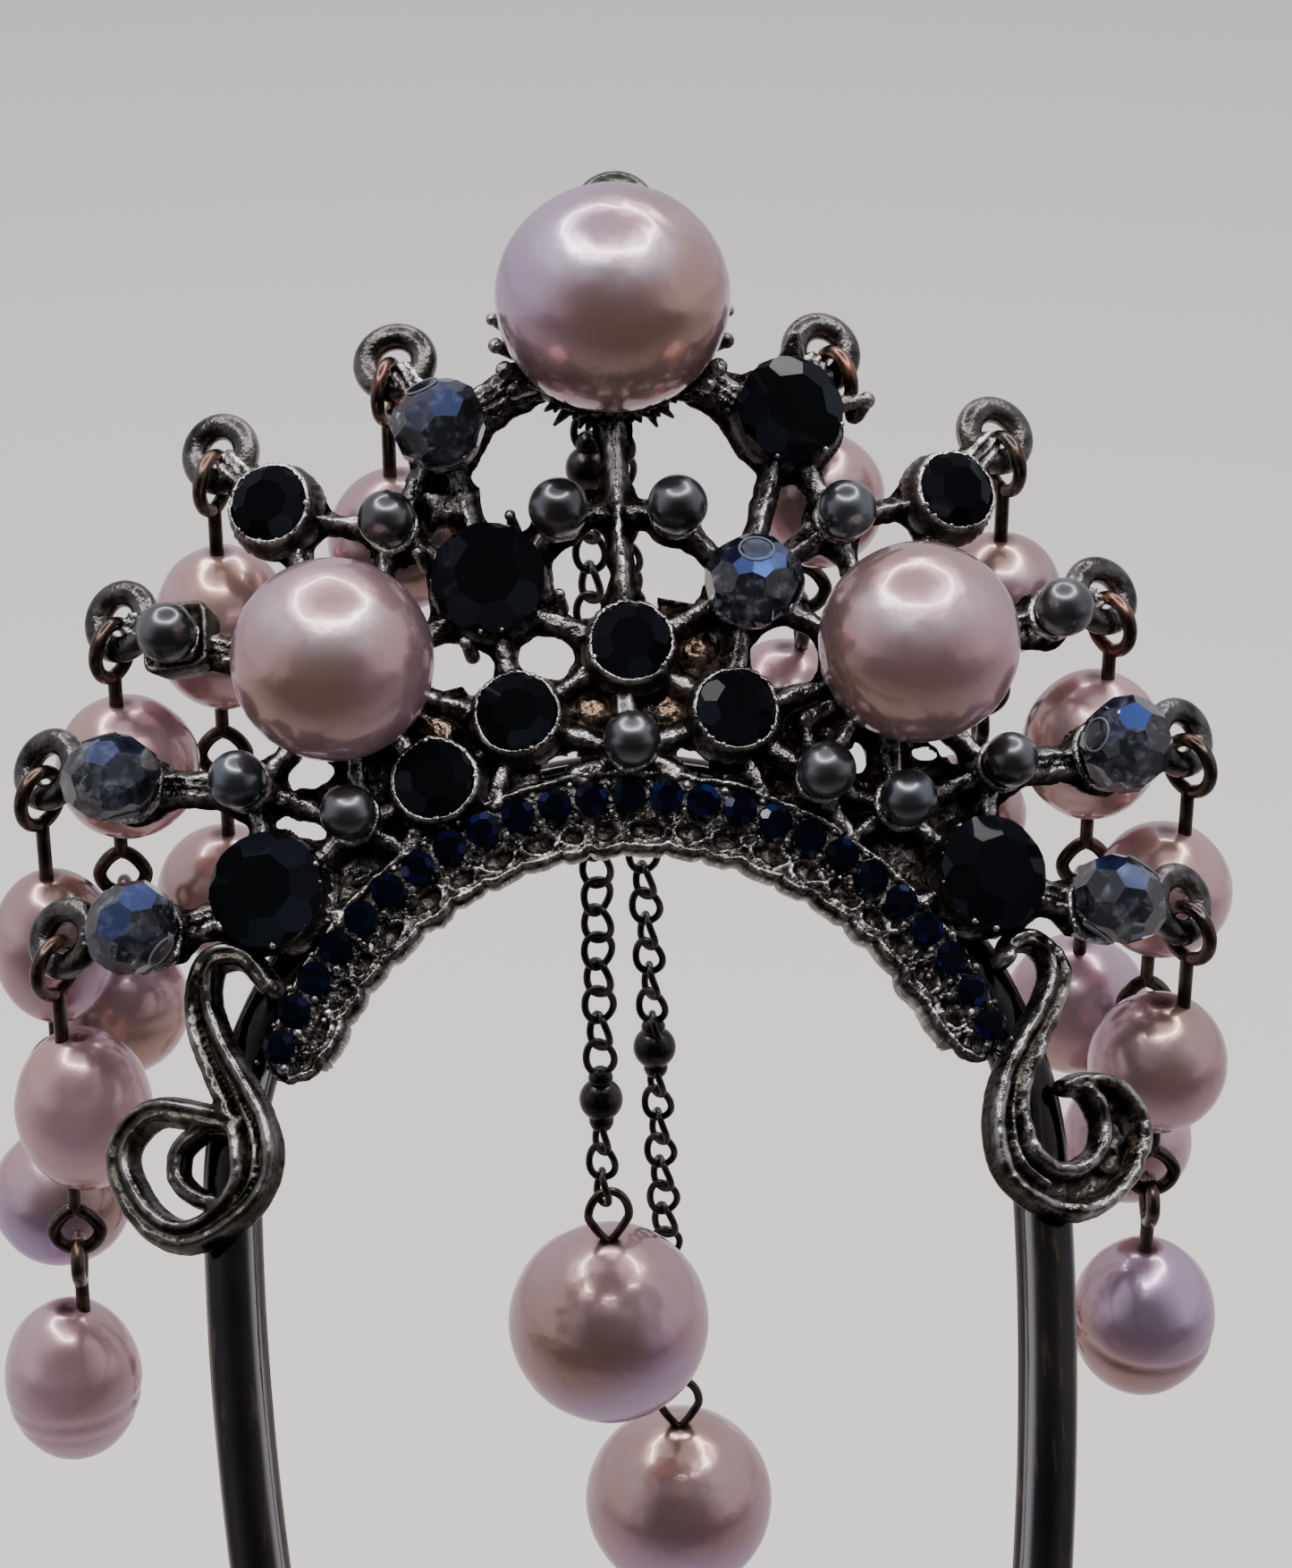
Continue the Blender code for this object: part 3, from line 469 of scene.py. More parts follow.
def makeRodMetal():
    # polished black plating: a paler band painted along it as a highlight streak,
    # faint lengthwise streaks, thin brown wear, fine scratches
    material, finish = newMaterial("rodMetal")
    streak = finish.noise(55.0, 4.0, 0.6)
    drawn = finish.add("VectorMath", finish.where(), (1.0, 0.12, 0.12), operation="MULTIPLY")
    lines = finish.noise(2600.0, 2.0, 0.5, drawn.outputs["Vector"])
    base = finish.mix(finish.mapped(streak, 0.35, 0.65), rodLook["dark"], rodLook["pale"])
    worn = finish.mix(finish.mapped(lines, 0.6, 0.75, 0.0, 0.7), base, rodLook["worn"])
    height = finish.maths("MULTIPLY_ADD", lines, 0.25, finish.noise(400.0))
    finish.shade({
        # painted highlight: the paler streak colour is mixed in along the bands
        "Base Color": finish.mix(finish.mark("rubbed"), worn, rodLook["rubbed"]), "Metallic": 1.0,
        "Roughness": finish.mapped(streak, 0.3, 0.7, 0.08, 0.16),
        "Normal": finish.bump(height, rodLook["bump"], 0.0003),
    })
    return material


def makeStoneGlass(name, dark, lit, shine=0.3):
    # near-black glass: a facet's mark sets how blue and how bright it shines, with faint smears on the polish
    material, finish = newMaterial(name)
    facet = finish.mark("facet")
    finish.shade({
        "Base Color": finish.mix(facet, dark, lit),
        "Roughness": finish.mapped(finish.noise(500.0), 0.35, 0.75, 0.03, 0.12),
        "Specular IOR Level": finish.mapped(facet, 0.0, 1.0, 0.025, shine),
    })
    return material


# the coat tint is painted on the facets that face the lamp, as glints
crystalLook = {"body": (0.08, 0.092, 0.12), "cracks": (0.3, 0.32, 0.37), "coat": (0.07, 0.13, 0.42)}


def makeCrystal():
    # dark blue-grey glass with faint cracks, and a painted glint: a bright blue coat on the facets whose mark
    # is high
    material, finish = newMaterial("crystalGlass")
    glintFacets = finish.mapped(finish.mark("facet"), 0.2, 0.9)
    smear = finish.mapped(finish.noise(420.0), 0.3, 0.7, 0.01, 0.07)
    crack = finish.mapped(finish.noise(900.0, 4.0, 0.7), 0.5, 0.7)
    body = finish.mix(crack, crystalLook["body"], crystalLook["cracks"])
    finish.shade({
        "Base Color": finish.mix(glintFacets, body, crystalLook["coat"]), "IOR": 1.55,
        "Metallic": finish.mapped(glintFacets, 0.0, 1.0, 0.0, 0.9),
        "Roughness": finish.maths("MULTIPLY_ADD", glintFacets, 0.15, smear),
        "Transmission Weight": finish.mapped(crack, 0.0, 1.0, 0.92, 0.6),
    })
    return material


rodMetal = makeRodMetal()
stoneGlass = makeStoneGlass("stoneGlass", (0.003, 0.0033, 0.0045), (0.011, 0.0135, 0.02), 0.06)
# the band stones' bright blue facets are painted glints
bandGlass = makeStoneGlass("bandGlass", (0.0015, 0.0022, 0.005), (0.007, 0.016, 0.085))
crystalGlass = makeCrystal()
boreGlass = makeStoneGlass("boreGlass", (0.16, 0.17, 0.19), (0.02, 0.022, 0.03))
print("stage: finishes made")


relief = {
    "side": 29.0, "low": 12.0, "high": 47.5, "step": 0.14, "curvePoints": 260,
    "strut": 0.64, "fillet": 0.5, "edge": 0.42, "middle": -0.08, "front": 0.5, "ridge": 0.34,
    "ridgeWidth": 0.1, "loopGap": 1.4,
}
# layers of the outlines' roughness and of the front's lumps: size, seed, height
latticeRough = ((0.95, 3, 0.11), (0.42, 4, 0.07))
bandRough = ((0.95, 3, 0.1), (0.42, 4, 0.07))
lumps = ((0.5, 8, 0.09), (1.5, 9, 0.05), (0.27, 10, 0.05))
# wear shows where the front stands above its surroundings and grime where it lies below: from how much, and
# the further millimetres to its full strength
shading = {"blur": 4, "wear": (0.07, 0.17), "grime": (0.02, 0.2)}
moreStrut = {"=": 0.38, "#": 0.66, "+": 0.06}  # how much wider these forms are
lanes = (-0.42, 0.05, 0.45)  # where the three low ridges of a broad arm run
# The lattice's struts, from spot to spot. A mark after the name gives its form: * a bright ridge
# along the middle, + a taller ridge, = a broad arm with three low ridges, # a broader one still.
struts = (  # made on both sides
    "top-high# high-loop_1= high-near* high-upper inner-stem_cross inner-near* upper-near* upper-corner* "
    "upper-side corner-loop_2= corner-side edge-loop_3= edge-side= near-mid near-centre near-side "
    "mid-centre mid-side mid-low mid-band_1 web_low-side web_low-low "
    "centre-bead bead-mid bead-band_0 low-foot low-side low-band_2 foot-outer foot-corner_low foot-band_2 "
    "foot-side outer-side outer-wing= outer-corner_low wing-loop_4= corner_low-tip= corner_low-band_3 "
    "corner_low-scroll_root tip-loop_5="
)
stemStruts = "top-stem_top+ stem_top-stem_cross+ stem_cross-stem_low+ stem_low-centre+"
filledCells = (  # corners (across, up) of the filled cells round the centre
    ((2.4, 28.8), (4.9, 28.3), (5.9, 25.6), (4.2, 24.2), (2.2, 25.9)),
    ((-2.6, 24.6), (-0.3, 25.2), (-0.2, 23.1), (-1.6, 21.7), (-3.2, 22.7)),
    ((0.8, 25.0), (2.9, 24.7), (4.2, 24.4), (3.2, 22.0), (1.6, 21.6)),
    ((-11.2, 24.0), (-8.5, 24.5), (-7.4, 22.7), (-9.0, 21.4), (-11.0, 21.8)),
)
leftPlate = ((-10.0, 35.7), (-7.4, 35.5), (-7.5, 34.1), (-9.6, 34.0))  # corners of a flat plate at the left
# the round plate under each kind: its share of the kind's radius, and how much wider it is than that
plates = {"pearl": (0.74, 0), "bead": (0.85, 0), "stone": (1, 0.5), "crystal": (0.78, 0)}
# sunk sheets between the struts, as ring sectors: first and last degree, inner and outer radius
webs = (
    (36.0, 70.0, 20.0, 23.6), (110.0, 146.0, 20.0, 23.6), (43.0, 64.0, 23.0, 27.0),
    (114.0, 131.0, 23.0, 26.5), (72.0, 78.0, 20.0, 22.4), (102.0, 109.0, 20.0, 21.8),
)
webHoles = (  # across, up, half width, half height of the holes left in them
    (-17.0, 18.5, 0.9, 0.75), (-16.2, 21.1, 1.3, 0.7), (-7.1, 21.2, 1.0, 0.5), (11.95, 20.9, 0.6, 0.8),
    (15.7, 21.2, 0.65, 0.35), (17.4, 16.9, 0.5, 0.4), (-13.0, 17.0, 0.45, 0.3),
)
band = {  # start is in degrees
    "low": -4.8, "high": 21.2, "step": 0.12, "inner": 16.1, "endInner": 17.1, "outer": 20.25, "start": 20.5,
    "cells": 26, "cellHigh": 0.62, "cellLane": 0.85, "cellSink": 0.3, "scallop": 0.32, "front": 0.1,
    "lip": 1.35, "rim": 0.36, "upperRidge": 0.45, "upperInset": 0.3, "lowerRidge": 0.35, "lowerInset": 0.26,
    "lowerTo": 18.6,
}
scrollLeft = (  # across, up, width
    (-18.6, 10.0, 1.2), (-20.0, 11.7, 1.4), (-21.8, 11.6, 1.6), (-22.3, 9.6, 1.9), (-21.7, 7.2, 2.2),
    (-20.5, 4.6, 2.5), (-19.6, 2.2, 2.8), (-19.8, 0.0, 2.5), (-21.3, -1.6, 2.0), (-23.4, -2.3, 1.8),
    (-25.4, -1.2, 1.8), (-26.8, 1.3, 1.7), (-26.6, 3.0, 1.7), (-24.9, 4.2, 1.6), (-22.4, 3.7, 1.6),
    (-20.8, 3.2, 1.6),
)
scrollInner = (
    (-20.6, 3.1, 1.1), (-22.3, 3.0, 1.1), (-23.6, 2.1, 1.15), (-23.7, 0.7, 1.15), (-22.8, -0.3, 1.1),
    (-21.3, -0.9, 1.1),
)
scrollRight = (
    (19.2, 10.3, 1.0), (19.8, 11.2, 1.1), (21.0, 11.4, 1.3), (21.9, 10.6, 1.4), (22.1, 9.4, 1.6),
    (21.5, 7.9, 1.7), (20.6, 6.4, 1.9), (19.7, 4.9, 2.1), (19.1, 3.4, 2.3), (18.9, 1.6, 2.6),
    (19.3, -0.2, 2.9), (20.6, -1.3, 3.0), (22.3, -1.6, 3.1), (23.8, -1.0, 3.2), (24.9, 0.2, 3.2),
    (25.4, 1.8, 3.4), (24.7, 3.2, 2.6), (23.4, 3.9, 1.5), (22.2, 3.8, 0.9),
)
scrollLook = {"base": 0.2, "ridge": 0.46, "top": 0.62}
scrollKnob = (19.25, 10.3, 0.62, 0.75)  # the ball at the right scroll's root: across, up, radius, height


def softMax(first, second, blend):
    # the larger of two fields, rounded where they meet: max + blend * (1 - |difference| / blend)^2 / 4
    gap = np.clip(1 - np.abs(first - second) / blend, 0, 1)
    return np.maximum(first, second) + blend * gap**2 / 4


def boxBlur(field, size):
    # the mean over a square of neighbours, from running sums along both directions
    for axis in (0, 1):
        before = np.repeat(np.take(field, [0], axis), size, axis)
        after = np.repeat(np.take(field, [-1], axis), size, axis)
        total = np.cumsum(np.concatenate([before, field, after], axis), axis)
        upper = np.take(total, np.arange(2 * size, total.shape[axis]), axis)
        lower = np.take(total, np.arange(0, total.shape[axis] - 2 * size), axis)
        field = (upper - lower) / (2 * size)
    return field


class Relief:
    # fields over (across, up): depth inside the outline, height
    # of the front, height of the back, warm and polish marks
    def __init__(self, left, right, low, high, step):
        self.step = step
        self.x, self.y = np.meshgrid(np.arange(left, right, step), np.arange(low, high, step), indexing="ij")
        self.depth = np.full(self.x.shape, -9.0)
        self.crest = np.full(self.x.shape, -0.55)
        self.back = np.full(self.x.shape, crown["back"])
        self.warm = np.zeros(self.x.shape)
        self.polish = np.zeros(self.x.shape)
        self.shine = np.zeros(self.x.shape)

    def add(self, depth, top, slope=1.6, edge=relief["edge"], outline=True):
        # depth is the distance inside this form; its front falls
        # away from top by slope within edge of its outline
        if outline:
            self.depth = softMax(self.depth, depth, relief["fillet"] * 2)
        self.crest = softMax(self.crest, top - slope * np.maximum(0, edge - depth), 0.14)

    def addRound(self, distance, radius, base):
        # a half-round ridge: base + sqrt(radius^2 - distance^2)
        rise = np.sqrt(np.clip(radius**2 - distance**2, 0, None))
        self.crest = softMax(self.crest, np.where(distance < radius, base + rise, -9.0), 0.05)

    def segment(self, a, b):
        # distance to a straight line, the side it lies on, and the share along it
        ax, ay, bx, by = *a, *b
        length = math.hypot(bx - ax, by - ay)
        along = np.clip(((self.x - ax) * (bx - ax) + (self.y - ay) * (by - ay)) / length**2, 0, 1)
        side = ((self.x - ax) * (by - ay) - (self.y - ay) * (bx - ax)) / length
        return np.hypot(self.x - ax - along * (bx - ax), self.y - ay - along * (by - ay)), along, side

    def polygon(self, corners):
        # distance inside a convex polygon: the least of the distances from its edges
        corners = np.array(corners)
        middle = corners.mean(0)
        inside = np.full(self.x.shape, 99.0)
        for (ax, ay), (bx, by) in zip(corners, np.roll(corners, -1, 0)):
            length = math.hypot(bx - ax, by - ay)
            gap = ((self.x - ax) * (by - ay) - (self.y - ay) * (bx - ax)) / length
            sign = np.sign(((middle[0] - ax) * (by - ay) - (middle[1] - ay) * (bx - ax)))
            inside = np.minimum(inside, gap * sign)
        return inside

    def curve(self, rows):
        # distance to a smooth curve, and the curve's width at the nearest place
        points = smoothCurve(rows, relief["curvePoints"])
        pad = points[:, 2].max() + 1.0
        lo, hi = points[:, :2].min(0) - pad, points[:, :2].max(0) + pad
        i = np.where((self.x[:, 0] > lo[0]) & (self.x[:, 0] < hi[0]))[0]
        j = np.where((self.y[0] > lo[1]) & (self.y[0] < hi[1]))[0]
        part = np.ix_(i, j)
        gap = np.hypot(self.x[part][..., None] - points[:, 0], self.y[part][..., None] - points[:, 1])
        nearest = np.argmin(gap - points[:, 2] / 2, -1)  # a wide stretch wins over a narrow one beside it
        distance = np.full(self.x.shape, 99.0)
        width = np.full(self.x.shape, 1.0)
        distance[part] = np.take_along_axis(gap, nearest[..., None], -1)[..., 0]
        width[part] = points[nearest, 2]
        return distance, width


def buildLattice():
    r = relief
    field = Relief(-r["side"], r["side"], r["low"], r["high"], r["step"])
    x, y = field.x, field.y
    rough = layeredNoise(x, y, latticeRough)
    streak = valueNoise(x, y, 0.3, 12)

    def strut(pair, side):
        kind = pair[-1] if pair[-1] in "*=+#" else ""
        first, second = pair.rstrip("*=+#").split("-")
        a = np.array(latticeSpots[first]) * (side, 1)
        b = np.array(latticeSpots[second]) * (side, 1)
        run = (b - a) / np.hypot(*(b - a))
        if second.startswith("loop"):
            b = b - run * r["loopGap"]
        distance, along, offset = field.segment(a, b)
        waist = r["strut"] + 0.14 * (2 * along - 1) ** 2 + moreStrut.get(kind, 0.0)
        field.add(waist + rough - distance, r["front"] + (0.12 if kind == "=" else 0.0))
        if kind in ("*", "+"):
            more = 1 if kind == "+" else 0
            ridge = r["ridgeWidth"] + more * 0.14 + streak * 0.06 - distance
            field.add(ridge, r["front"] + r["ridge"] + more * 0.25, 2.4 + more, 0.08, outline=False)
            field.shine = np.maximum(field.shine, (0.6 + 0.4 * more) * np.clip(1.4 - distance / 0.13, 0, 1))
        elif kind in ("=", "#"):
            for lane in lanes:
                aside = np.hypot(offset - lane, np.maximum(distance - waist, 0))
                field.add(0.09 + streak * 0.08 - aside, r["front"] + 0.36, 2.0, 0.1, outline=False)

    for side in (-1, 1):
        for pair in struts.split():
            strut(pair, side)
    for pair in stemStruts.split():
        strut(pair, 1)
    for kind, across, up, radius in settings.values():
        share, more = plates[kind]
        field.add(radius * share + more + rough * 0.6 - np.hypot(x - across, y - up), 0.45)
    ring = np.hypot(x, y)
    turn = np.degrees(np.arctan2(y, x))
    for first, last, near, far in webs:
        sides = np.minimum(turn - first, last - turn) * math.radians(1) * ring
        sheet = np.minimum(np.minimum(ring - near, far - ring), sides) + rough * 1.5
        for across, up, wide, high in webHoles:
            hole = (np.hypot((x - across) / wide, (y - up) / high) - 1) * min(wide, high)
            sheet = np.minimum(sheet, hole + rough)
        field.depth = np.maximum(field.depth, sheet)
        floor = -0.5 + valueNoise(x, y, 0.8, 41) * 0.25 + streak * 0.05
        field.crest = np.where(sheet > -0.2, np.maximum(field.crest, floor), field.crest)
    field.add(field.polygon(leftPlate) + 0.2, r["front"])
    # filled cells: sunk floors with a lumpy worn cup in each
    for corners in filledCells:
        inside = field.polygon(corners)
        middle = np.mean(corners, 0)
        distance = np.hypot(x - middle[0], y - middle[1])
        field.depth = np.maximum(field.depth, inside + 0.5)
        mound = 0.4 * np.exp(-((distance / 0.8) ** 4)) + valueNoise(x, y, 0.45, 31) * 0.13
        field.crest = np.where(inside > -0.2, np.maximum(field.crest, -0.5 + mound), field.crest)
        field.warm = np.maximum(field.warm, np.exp(-((distance / 0.85) ** 4)))
    return field


def buildBand():
    field = Relief(-relief["side"], relief["side"], band["low"], band["high"], band["step"])
    x, y = field.x, field.y
    rough = layeredNoise(x, y, bandRough)
    streak = valueNoise(x, y, 0.33, 12)
    ring = np.hypot(x, y)
    turn = np.degrees(np.arctan2(y, x))
    turn = np.where(turn < -90, turn + 360, turn)
    share = np.clip(np.abs(turn - 90) / 70, 0, 1)
    # along is the place in its own cell, from -1 to 1; the inner edge draws outward toward the ends
    pitch = 180 / band["cells"]
    along = 2 * (((turn + valueNoise(x, y, 3.0, 5) * 1.6) / pitch) % 1.0) - 1
    middle = band["inner"] + (band["endInner"] - band["inner"]) * share**2
    inner = middle - band["scallop"] * np.sqrt(np.clip(1 - along**2, 0, 1)) + rough
    past = (np.maximum(band["start"] - turn, turn - (180 - band["start"]))) * math.radians(1) * ring
    half = (band["outer"] - band["endInner"]) / 2
    capped = half + rough - np.hypot(past, ring - band["outer"] + half)
    depth = np.where(past > 0, capped, np.minimum(ring - inner, band["outer"] + rough * 0.6 - ring))
    field.add(depth, band["front"], 1.3)
    # overlapping half-round cells with thin broken rims
    lane = middle + band["cellLane"]
    arcHalf = math.radians(pitch / 2) * lane
    cell = np.hypot(along * arcHalf, (ring - lane) / band["cellHigh"] * arcHalf * 0.9) + rough * 0.8
    rimTop = band["front"] + band["rim"] + streak * 0.2
    below = (ring < lane + 0.4) & (past < 0.2)
    rim = np.where(below, 0.1 + streak * 0.06 - np.abs(cell - arcHalf * 0.86), -1)
    field.add(rim, rimTop, 2.6, 0.1, outline=False)
    field.crest = np.where(below & (cell < arcHalf * 0.7), field.crest - band["cellSink"], field.crest)
    wander = band["outer"] - band["upperInset"] + valueNoise(x, y, 1.3, 17) * 0.12
    # a wandering ridge along the upper edge, and one just inside the lower edge
    upperRidge = np.where(past < 0.1, 0.14 + streak * 0.07 - np.abs(ring - wander), -1)
    field.add(upperRidge, band["front"] + band["upperRidge"], 2.0, 0.14, outline=False)
    lowerRidge = 0.13 + streak * 0.06 - np.abs(depth - band["lowerInset"]) - 9.0 * (ring > band["lowerTo"])
    field.add(lowerRidge, band["front"] + band["lowerRidge"], 1.8, 0.12, outline=False)
    field.back = field.back - band["lip"] * np.clip((inner + 1.1 - ring) / 0.5, 0, 1) * (past < 0.3)
    # scrolls: round ridges along both edges with a channel between
    for rows in (scrollLeft, scrollInner, scrollRight):
        distance, width = field.curve(rows)
        field.depth = softMax(field.depth, width / 2 + rough * 0.35 - distance, 0.1)
        inside = distance < width / 2 + 0.1
        field.polish = np.where(inside, 0.6 if rows is scrollRight else 0.85, field.polish)
        craggy = 1.0 if rows is scrollRight else 0.25
        floor = scrollLook["base"] - 0.12 * craggy + streak * 0.05
        floor = floor + craggy * valueNoise(x, y, 0.55, 51) * 0.16
        field.crest = np.where(inside, np.maximum(field.crest, floor), field.crest)
        ridge = np.minimum(scrollLook["ridge"], width * 0.3)
        aside = np.abs(distance - (width / 2 - ridge)) + rough * 0.2
        top = scrollLook["top"] + rough * (0.3 + 0.6 * craggy)
        field.addRound(np.where(inside, aside, 9.0), ridge, top)
    for line in (scrollRight[3:12], scrollLeft[3:9], scrollLeft[8:13]):
        spine, width = field.curve([(across + 0.1, up, 0.6) for across, up, _ in line])
        field.addRound(spine + rough * 0.3, 0.19, 0.6)
    across, up, size, height = scrollKnob
    field.addRound(np.hypot(x - across, y - up), size, height)
    return field


def reliefShape(field):
    # height fields over a net become a closed sheet: front and back share the
    # points of the outline, where outside points of cut cells are pulled onto
    # it along the depth's slope; heights swell from middle as a quarter circle
    r = relief
    step = field.step
    depth = field.depth
    inside = depth > 0
    cells = inside[:-1, :-1] | inside[1:, :-1] | inside[:-1, 1:] | inside[1:, 1:]
    used = np.zeros(inside.shape, bool)
    for di in (0, 1):
        for dj in (0, 1):
            used[di : di + cells.shape[0], dj : dj + cells.shape[1]] |= cells
    gx, gy = np.gradient(depth, step)
    slope2 = np.maximum(gx**2 + gy**2, 0.2)
    rim = used & ~inside
    pull = np.where(rim, np.clip(depth, -1.3 * step, 0) / slope2, 0)
    x, y = field.x - pull * gx, field.y - pull * gy
    inner = np.clip(depth / r["edge"], 0, 1)
    swell = np.sqrt(1 - (1 - inner) ** 2)
    lump = layeredNoise(field.x, field.y, lumps) * (1 - 0.7 * field.polish)
    front = r["middle"] + (field.crest + lump - r["middle"]) * swell
    rear = r["middle"] - (r["middle"] - field.back - lump * 0.5) * swell
    relative = front - boxBlur(np.where(inside, front, r["middle"]), shading["blur"])
    begin, within = shading["wear"]
    wear = np.maximum(np.clip((relative - begin) / within, 0, 1), field.shine)
    begin, within = shading["grime"]
    grime = np.clip((-relative - begin) / within, 0, 1)
    number = np.full(inside.shape, -1)
    number[used] = np.arange(used.sum())
    twin = number.copy()
    twin[inside] = np.arange(inside.sum()) + used.sum()
    frontPoints = np.stack([x[used], y[used], front[used]], -1)
    rearPoints = np.stack([x[inside], y[inside], rear[inside]], -1)
    i, j = np.nonzero(cells)

    def quads(index, flip):
        corners = [index[i, j], index[i + 1, j], index[i + 1, j + 1], index[i, j + 1]]
        return np.stack(corners[::-1] if flip else corners, -1)

    deep = np.clip((crown["back"] - field.back) / 0.4, 0, 1)
    return {
        "points": crownPlace(np.concatenate([frontPoints, rearPoints])),
        "faces": np.concatenate([quads(number, False), quads(twin, True)]),
        "marks": {
            "wear": np.concatenate([wear[used], 0.12 + 0.45 * deep[inside]]),
            "grime": np.concatenate([grime[used], 0.25 * (1 - deep[inside])]),
            "warm": np.concatenate([field.warm[used] * 0.8, np.zeros(inside.sum())]),
            "polish": np.concatenate([field.polish[used], field.polish[inside]]),
        },
    }


for pieceName, field in (("castLattice", buildLattice()), ("castBand", buildBand())):
    shape = reliefShape(field)
    makePiece(pieceName, shape, gunmetal, ["crown_casting"], merge=False)
    print("stage:", pieceName, len(shape["faces"]) * 2, "triangles")


fittings = {
    "bezelWall": 0.27, "bezelFloor": 0.6, "bezelRim": 1.7, "sides": 72, "loopRadius": 1.5, "loopWire": 0.72,
    "loopSides": 20, "loopRounds": 48, "grips": 7, "gripLift": 1.72, "armWire": 0.62,
}
# radius of the cup under each kind, and its sides
cups = {"pearl": (3.7, 40), "bead": (1.15, 24), "crystal": (1.7, 32)}
spikes = {"count": 36, "from": 212.0, "to": 328.0, "longest": 1.0, "collar": 4.9}  # from and to in degrees
# radius and lift of the roots, then of the shortest tips
spikeRows = ((4.7, 0.5, 5.35, 0.9), (4.8, 1.3, 5.2, 2.0))
beadBox = (-23.15, 29.0, 1.82, 1.3)  # a square cup under the outer left bead: across, up, half size, height
nubs = (  # small cast balls: across, up, lift, radius
    (-5.4, 33.6, 1.5, 0.3), (-3.1, 29.3, 1.1, 0.34), (-7.9, 27.0, 1.1, 0.34), (-10.2, 32.0, 1.3, 0.3),
    (-9.4, 17.6, 0.9, 0.36), (13.35, 40.15, 1.0, 0.46), (9.9, 33.0, 0.7, 0.34), (10.6, 32.6, 0.6, 0.28),
)
# root, tip, thickness at each, wear, grime of the small points by the upper right stone and the stem
thorns = (
    ((9.4, 41.9, 0.7), (9.4, 43.2, 2.0), 0.85, 0.28, 0.45, 0.1),
    ((11.4, 39.9, 0.5), (13.2, 40.15, 1.0), 0.55, 0.34, 0.4, 0.15),
    ((0.3, 28.3, 1.2), (0.15, 29.1, 1.75), 0.4, 0.12, 0.3, 0.2),
)
sideProngs = (  # across, up, lift, radius of the balls that grip the top pearl's sides
    (-5.82, 43.7, 3.4, 0.34), (-5.7, 42.3, 3.2, 0.42), (5.8, 43.9, 3.4, 0.32), (5.66, 42.3, 3.2, 0.42),
    (-5.35, 41.2, 2.5, 0.5), (5.3, 41.1, 2.5, 0.5), (-4.9, 40.2, 2.0, 0.44), (4.85, 40.3, 2.0, 0.46),
)


def unevenRim(seed, size):
    # waves round the turn, most of them slow, the fast ones sliding round with the height
    rng = np.random.default_rng(seed)
    phases = rng.uniform(0, tau, 16)

    def wobble(radius, height, turn):
        slow = sum(np.sin((k + 3) * turn + phases[k]) / (k + 2) ** 0.7 for k in range(9))
        fast = sum(np.sin((k + 2) * 2 * turn + phases[k] + height * (2 + k)) / 3 for k in range(9, 16))
        wave = slow + fast
        return radius + wave * size * (radius > 0.3), height + wave * size * 0.8 * (height > 0.3)

    return wobble


def bezelShape(across, up, radius, seed):
    # a turned wall round the stone; its rows are radius, height, wear and grime
    place, axes = crownFrame(across, up)
    big = radius > bigStone
    floor, back = fittings["bezelFloor"], crown["back"]
    rim = fittings["bezelRim"] - 0.2 * big
    inside = radius - 0.25 if big else radius + 0.02
    outside = radius - 0.06 if big else radius + fittings["bezelWall"]
    shine = 0.4 if big else 1.0
    rows = [
        (0.0, floor, 0, 1), (inside * 0.96, floor, 0, 1), (inside, rim - 0.1, 0.3, 0.6),
        (inside + 0.03, rim + 0.02, shine, 0), (inside + 0.09, rim + 0.03, shine, 0),
        (outside - 0.03, rim - 0.06, 0.6 * shine, 0.3 * big), (outside + 0.03, 1.25, 0.1, 0.7),
        (outside + 0.1, 0.8, 0.1, 0.75), (outside + 0.3, 0.4, 0.35, 0.3), (outside + 0.32, -0.3, 0.1, 0.2),
        (outside + 0.1, back + 0.1, 0, 0.2), (outside * 0.8, back, 0, 0.3), (0.0, back, 0, 0.3),
    ]
    wobble = unevenRim(seed, 0.07 if big else 0.034)
    return revolve(rows, ("wear", "grime"), fittings["sides"], place, axes, wobble)


def bezelGrips(across, up, radius, rng):
    # uneven bits of metal pressed over a stone's edge
    place, axes = crownFrame(across, up)
    shapes = []
    for angle in rng.uniform(0, tau, fittings["grips"]):
        size = rng.uniform(0.1, 0.2)
        reach = radius + 0.08
        offset = (math.cos(angle) * reach, math.sin(angle) * reach, fittings["gripLift"])
        spot = place + np.array(offset) @ axes
        shapes.append(ballShape(spot, size, 7, 10, wear=0.85, grime=0.0))
    return shapes


def cupShape(across, up, radius, lift, cup, seed, sides):
    # a dish that follows the ball it carries, with a thin rim and a foot on the sheet; rows as in the bezel
    place, axes = crownFrame(across, up)
    gap, back = radius + 0.1, crown["back"]
    rows = [(cup * s, lift - math.sqrt(gap**2 - (cup * s) ** 2), 0.0, 0.8) for s in np.linspace(0, 1, 8)]
    top = rows[-1][1]
    rows[-1] = (cup, top, 0.6, 0.2)
    rows += [
        (cup + 0.18, top + 0.02, 1.0, 0), (cup + 0.3, top - 0.2, 0.6, 0),
        (cup * 0.95, (top + back) / 2, 0.1, 0.3), (cup * 0.85, back + 0.2, 0.1, 0.2),
        (cup * 0.7, back, 0, 0.2), (0, back, 0, 0.2),
    ]
    return revolve(rows, ("wear", "grime"), sides, place, axes, unevenRim(seed, 0.05))


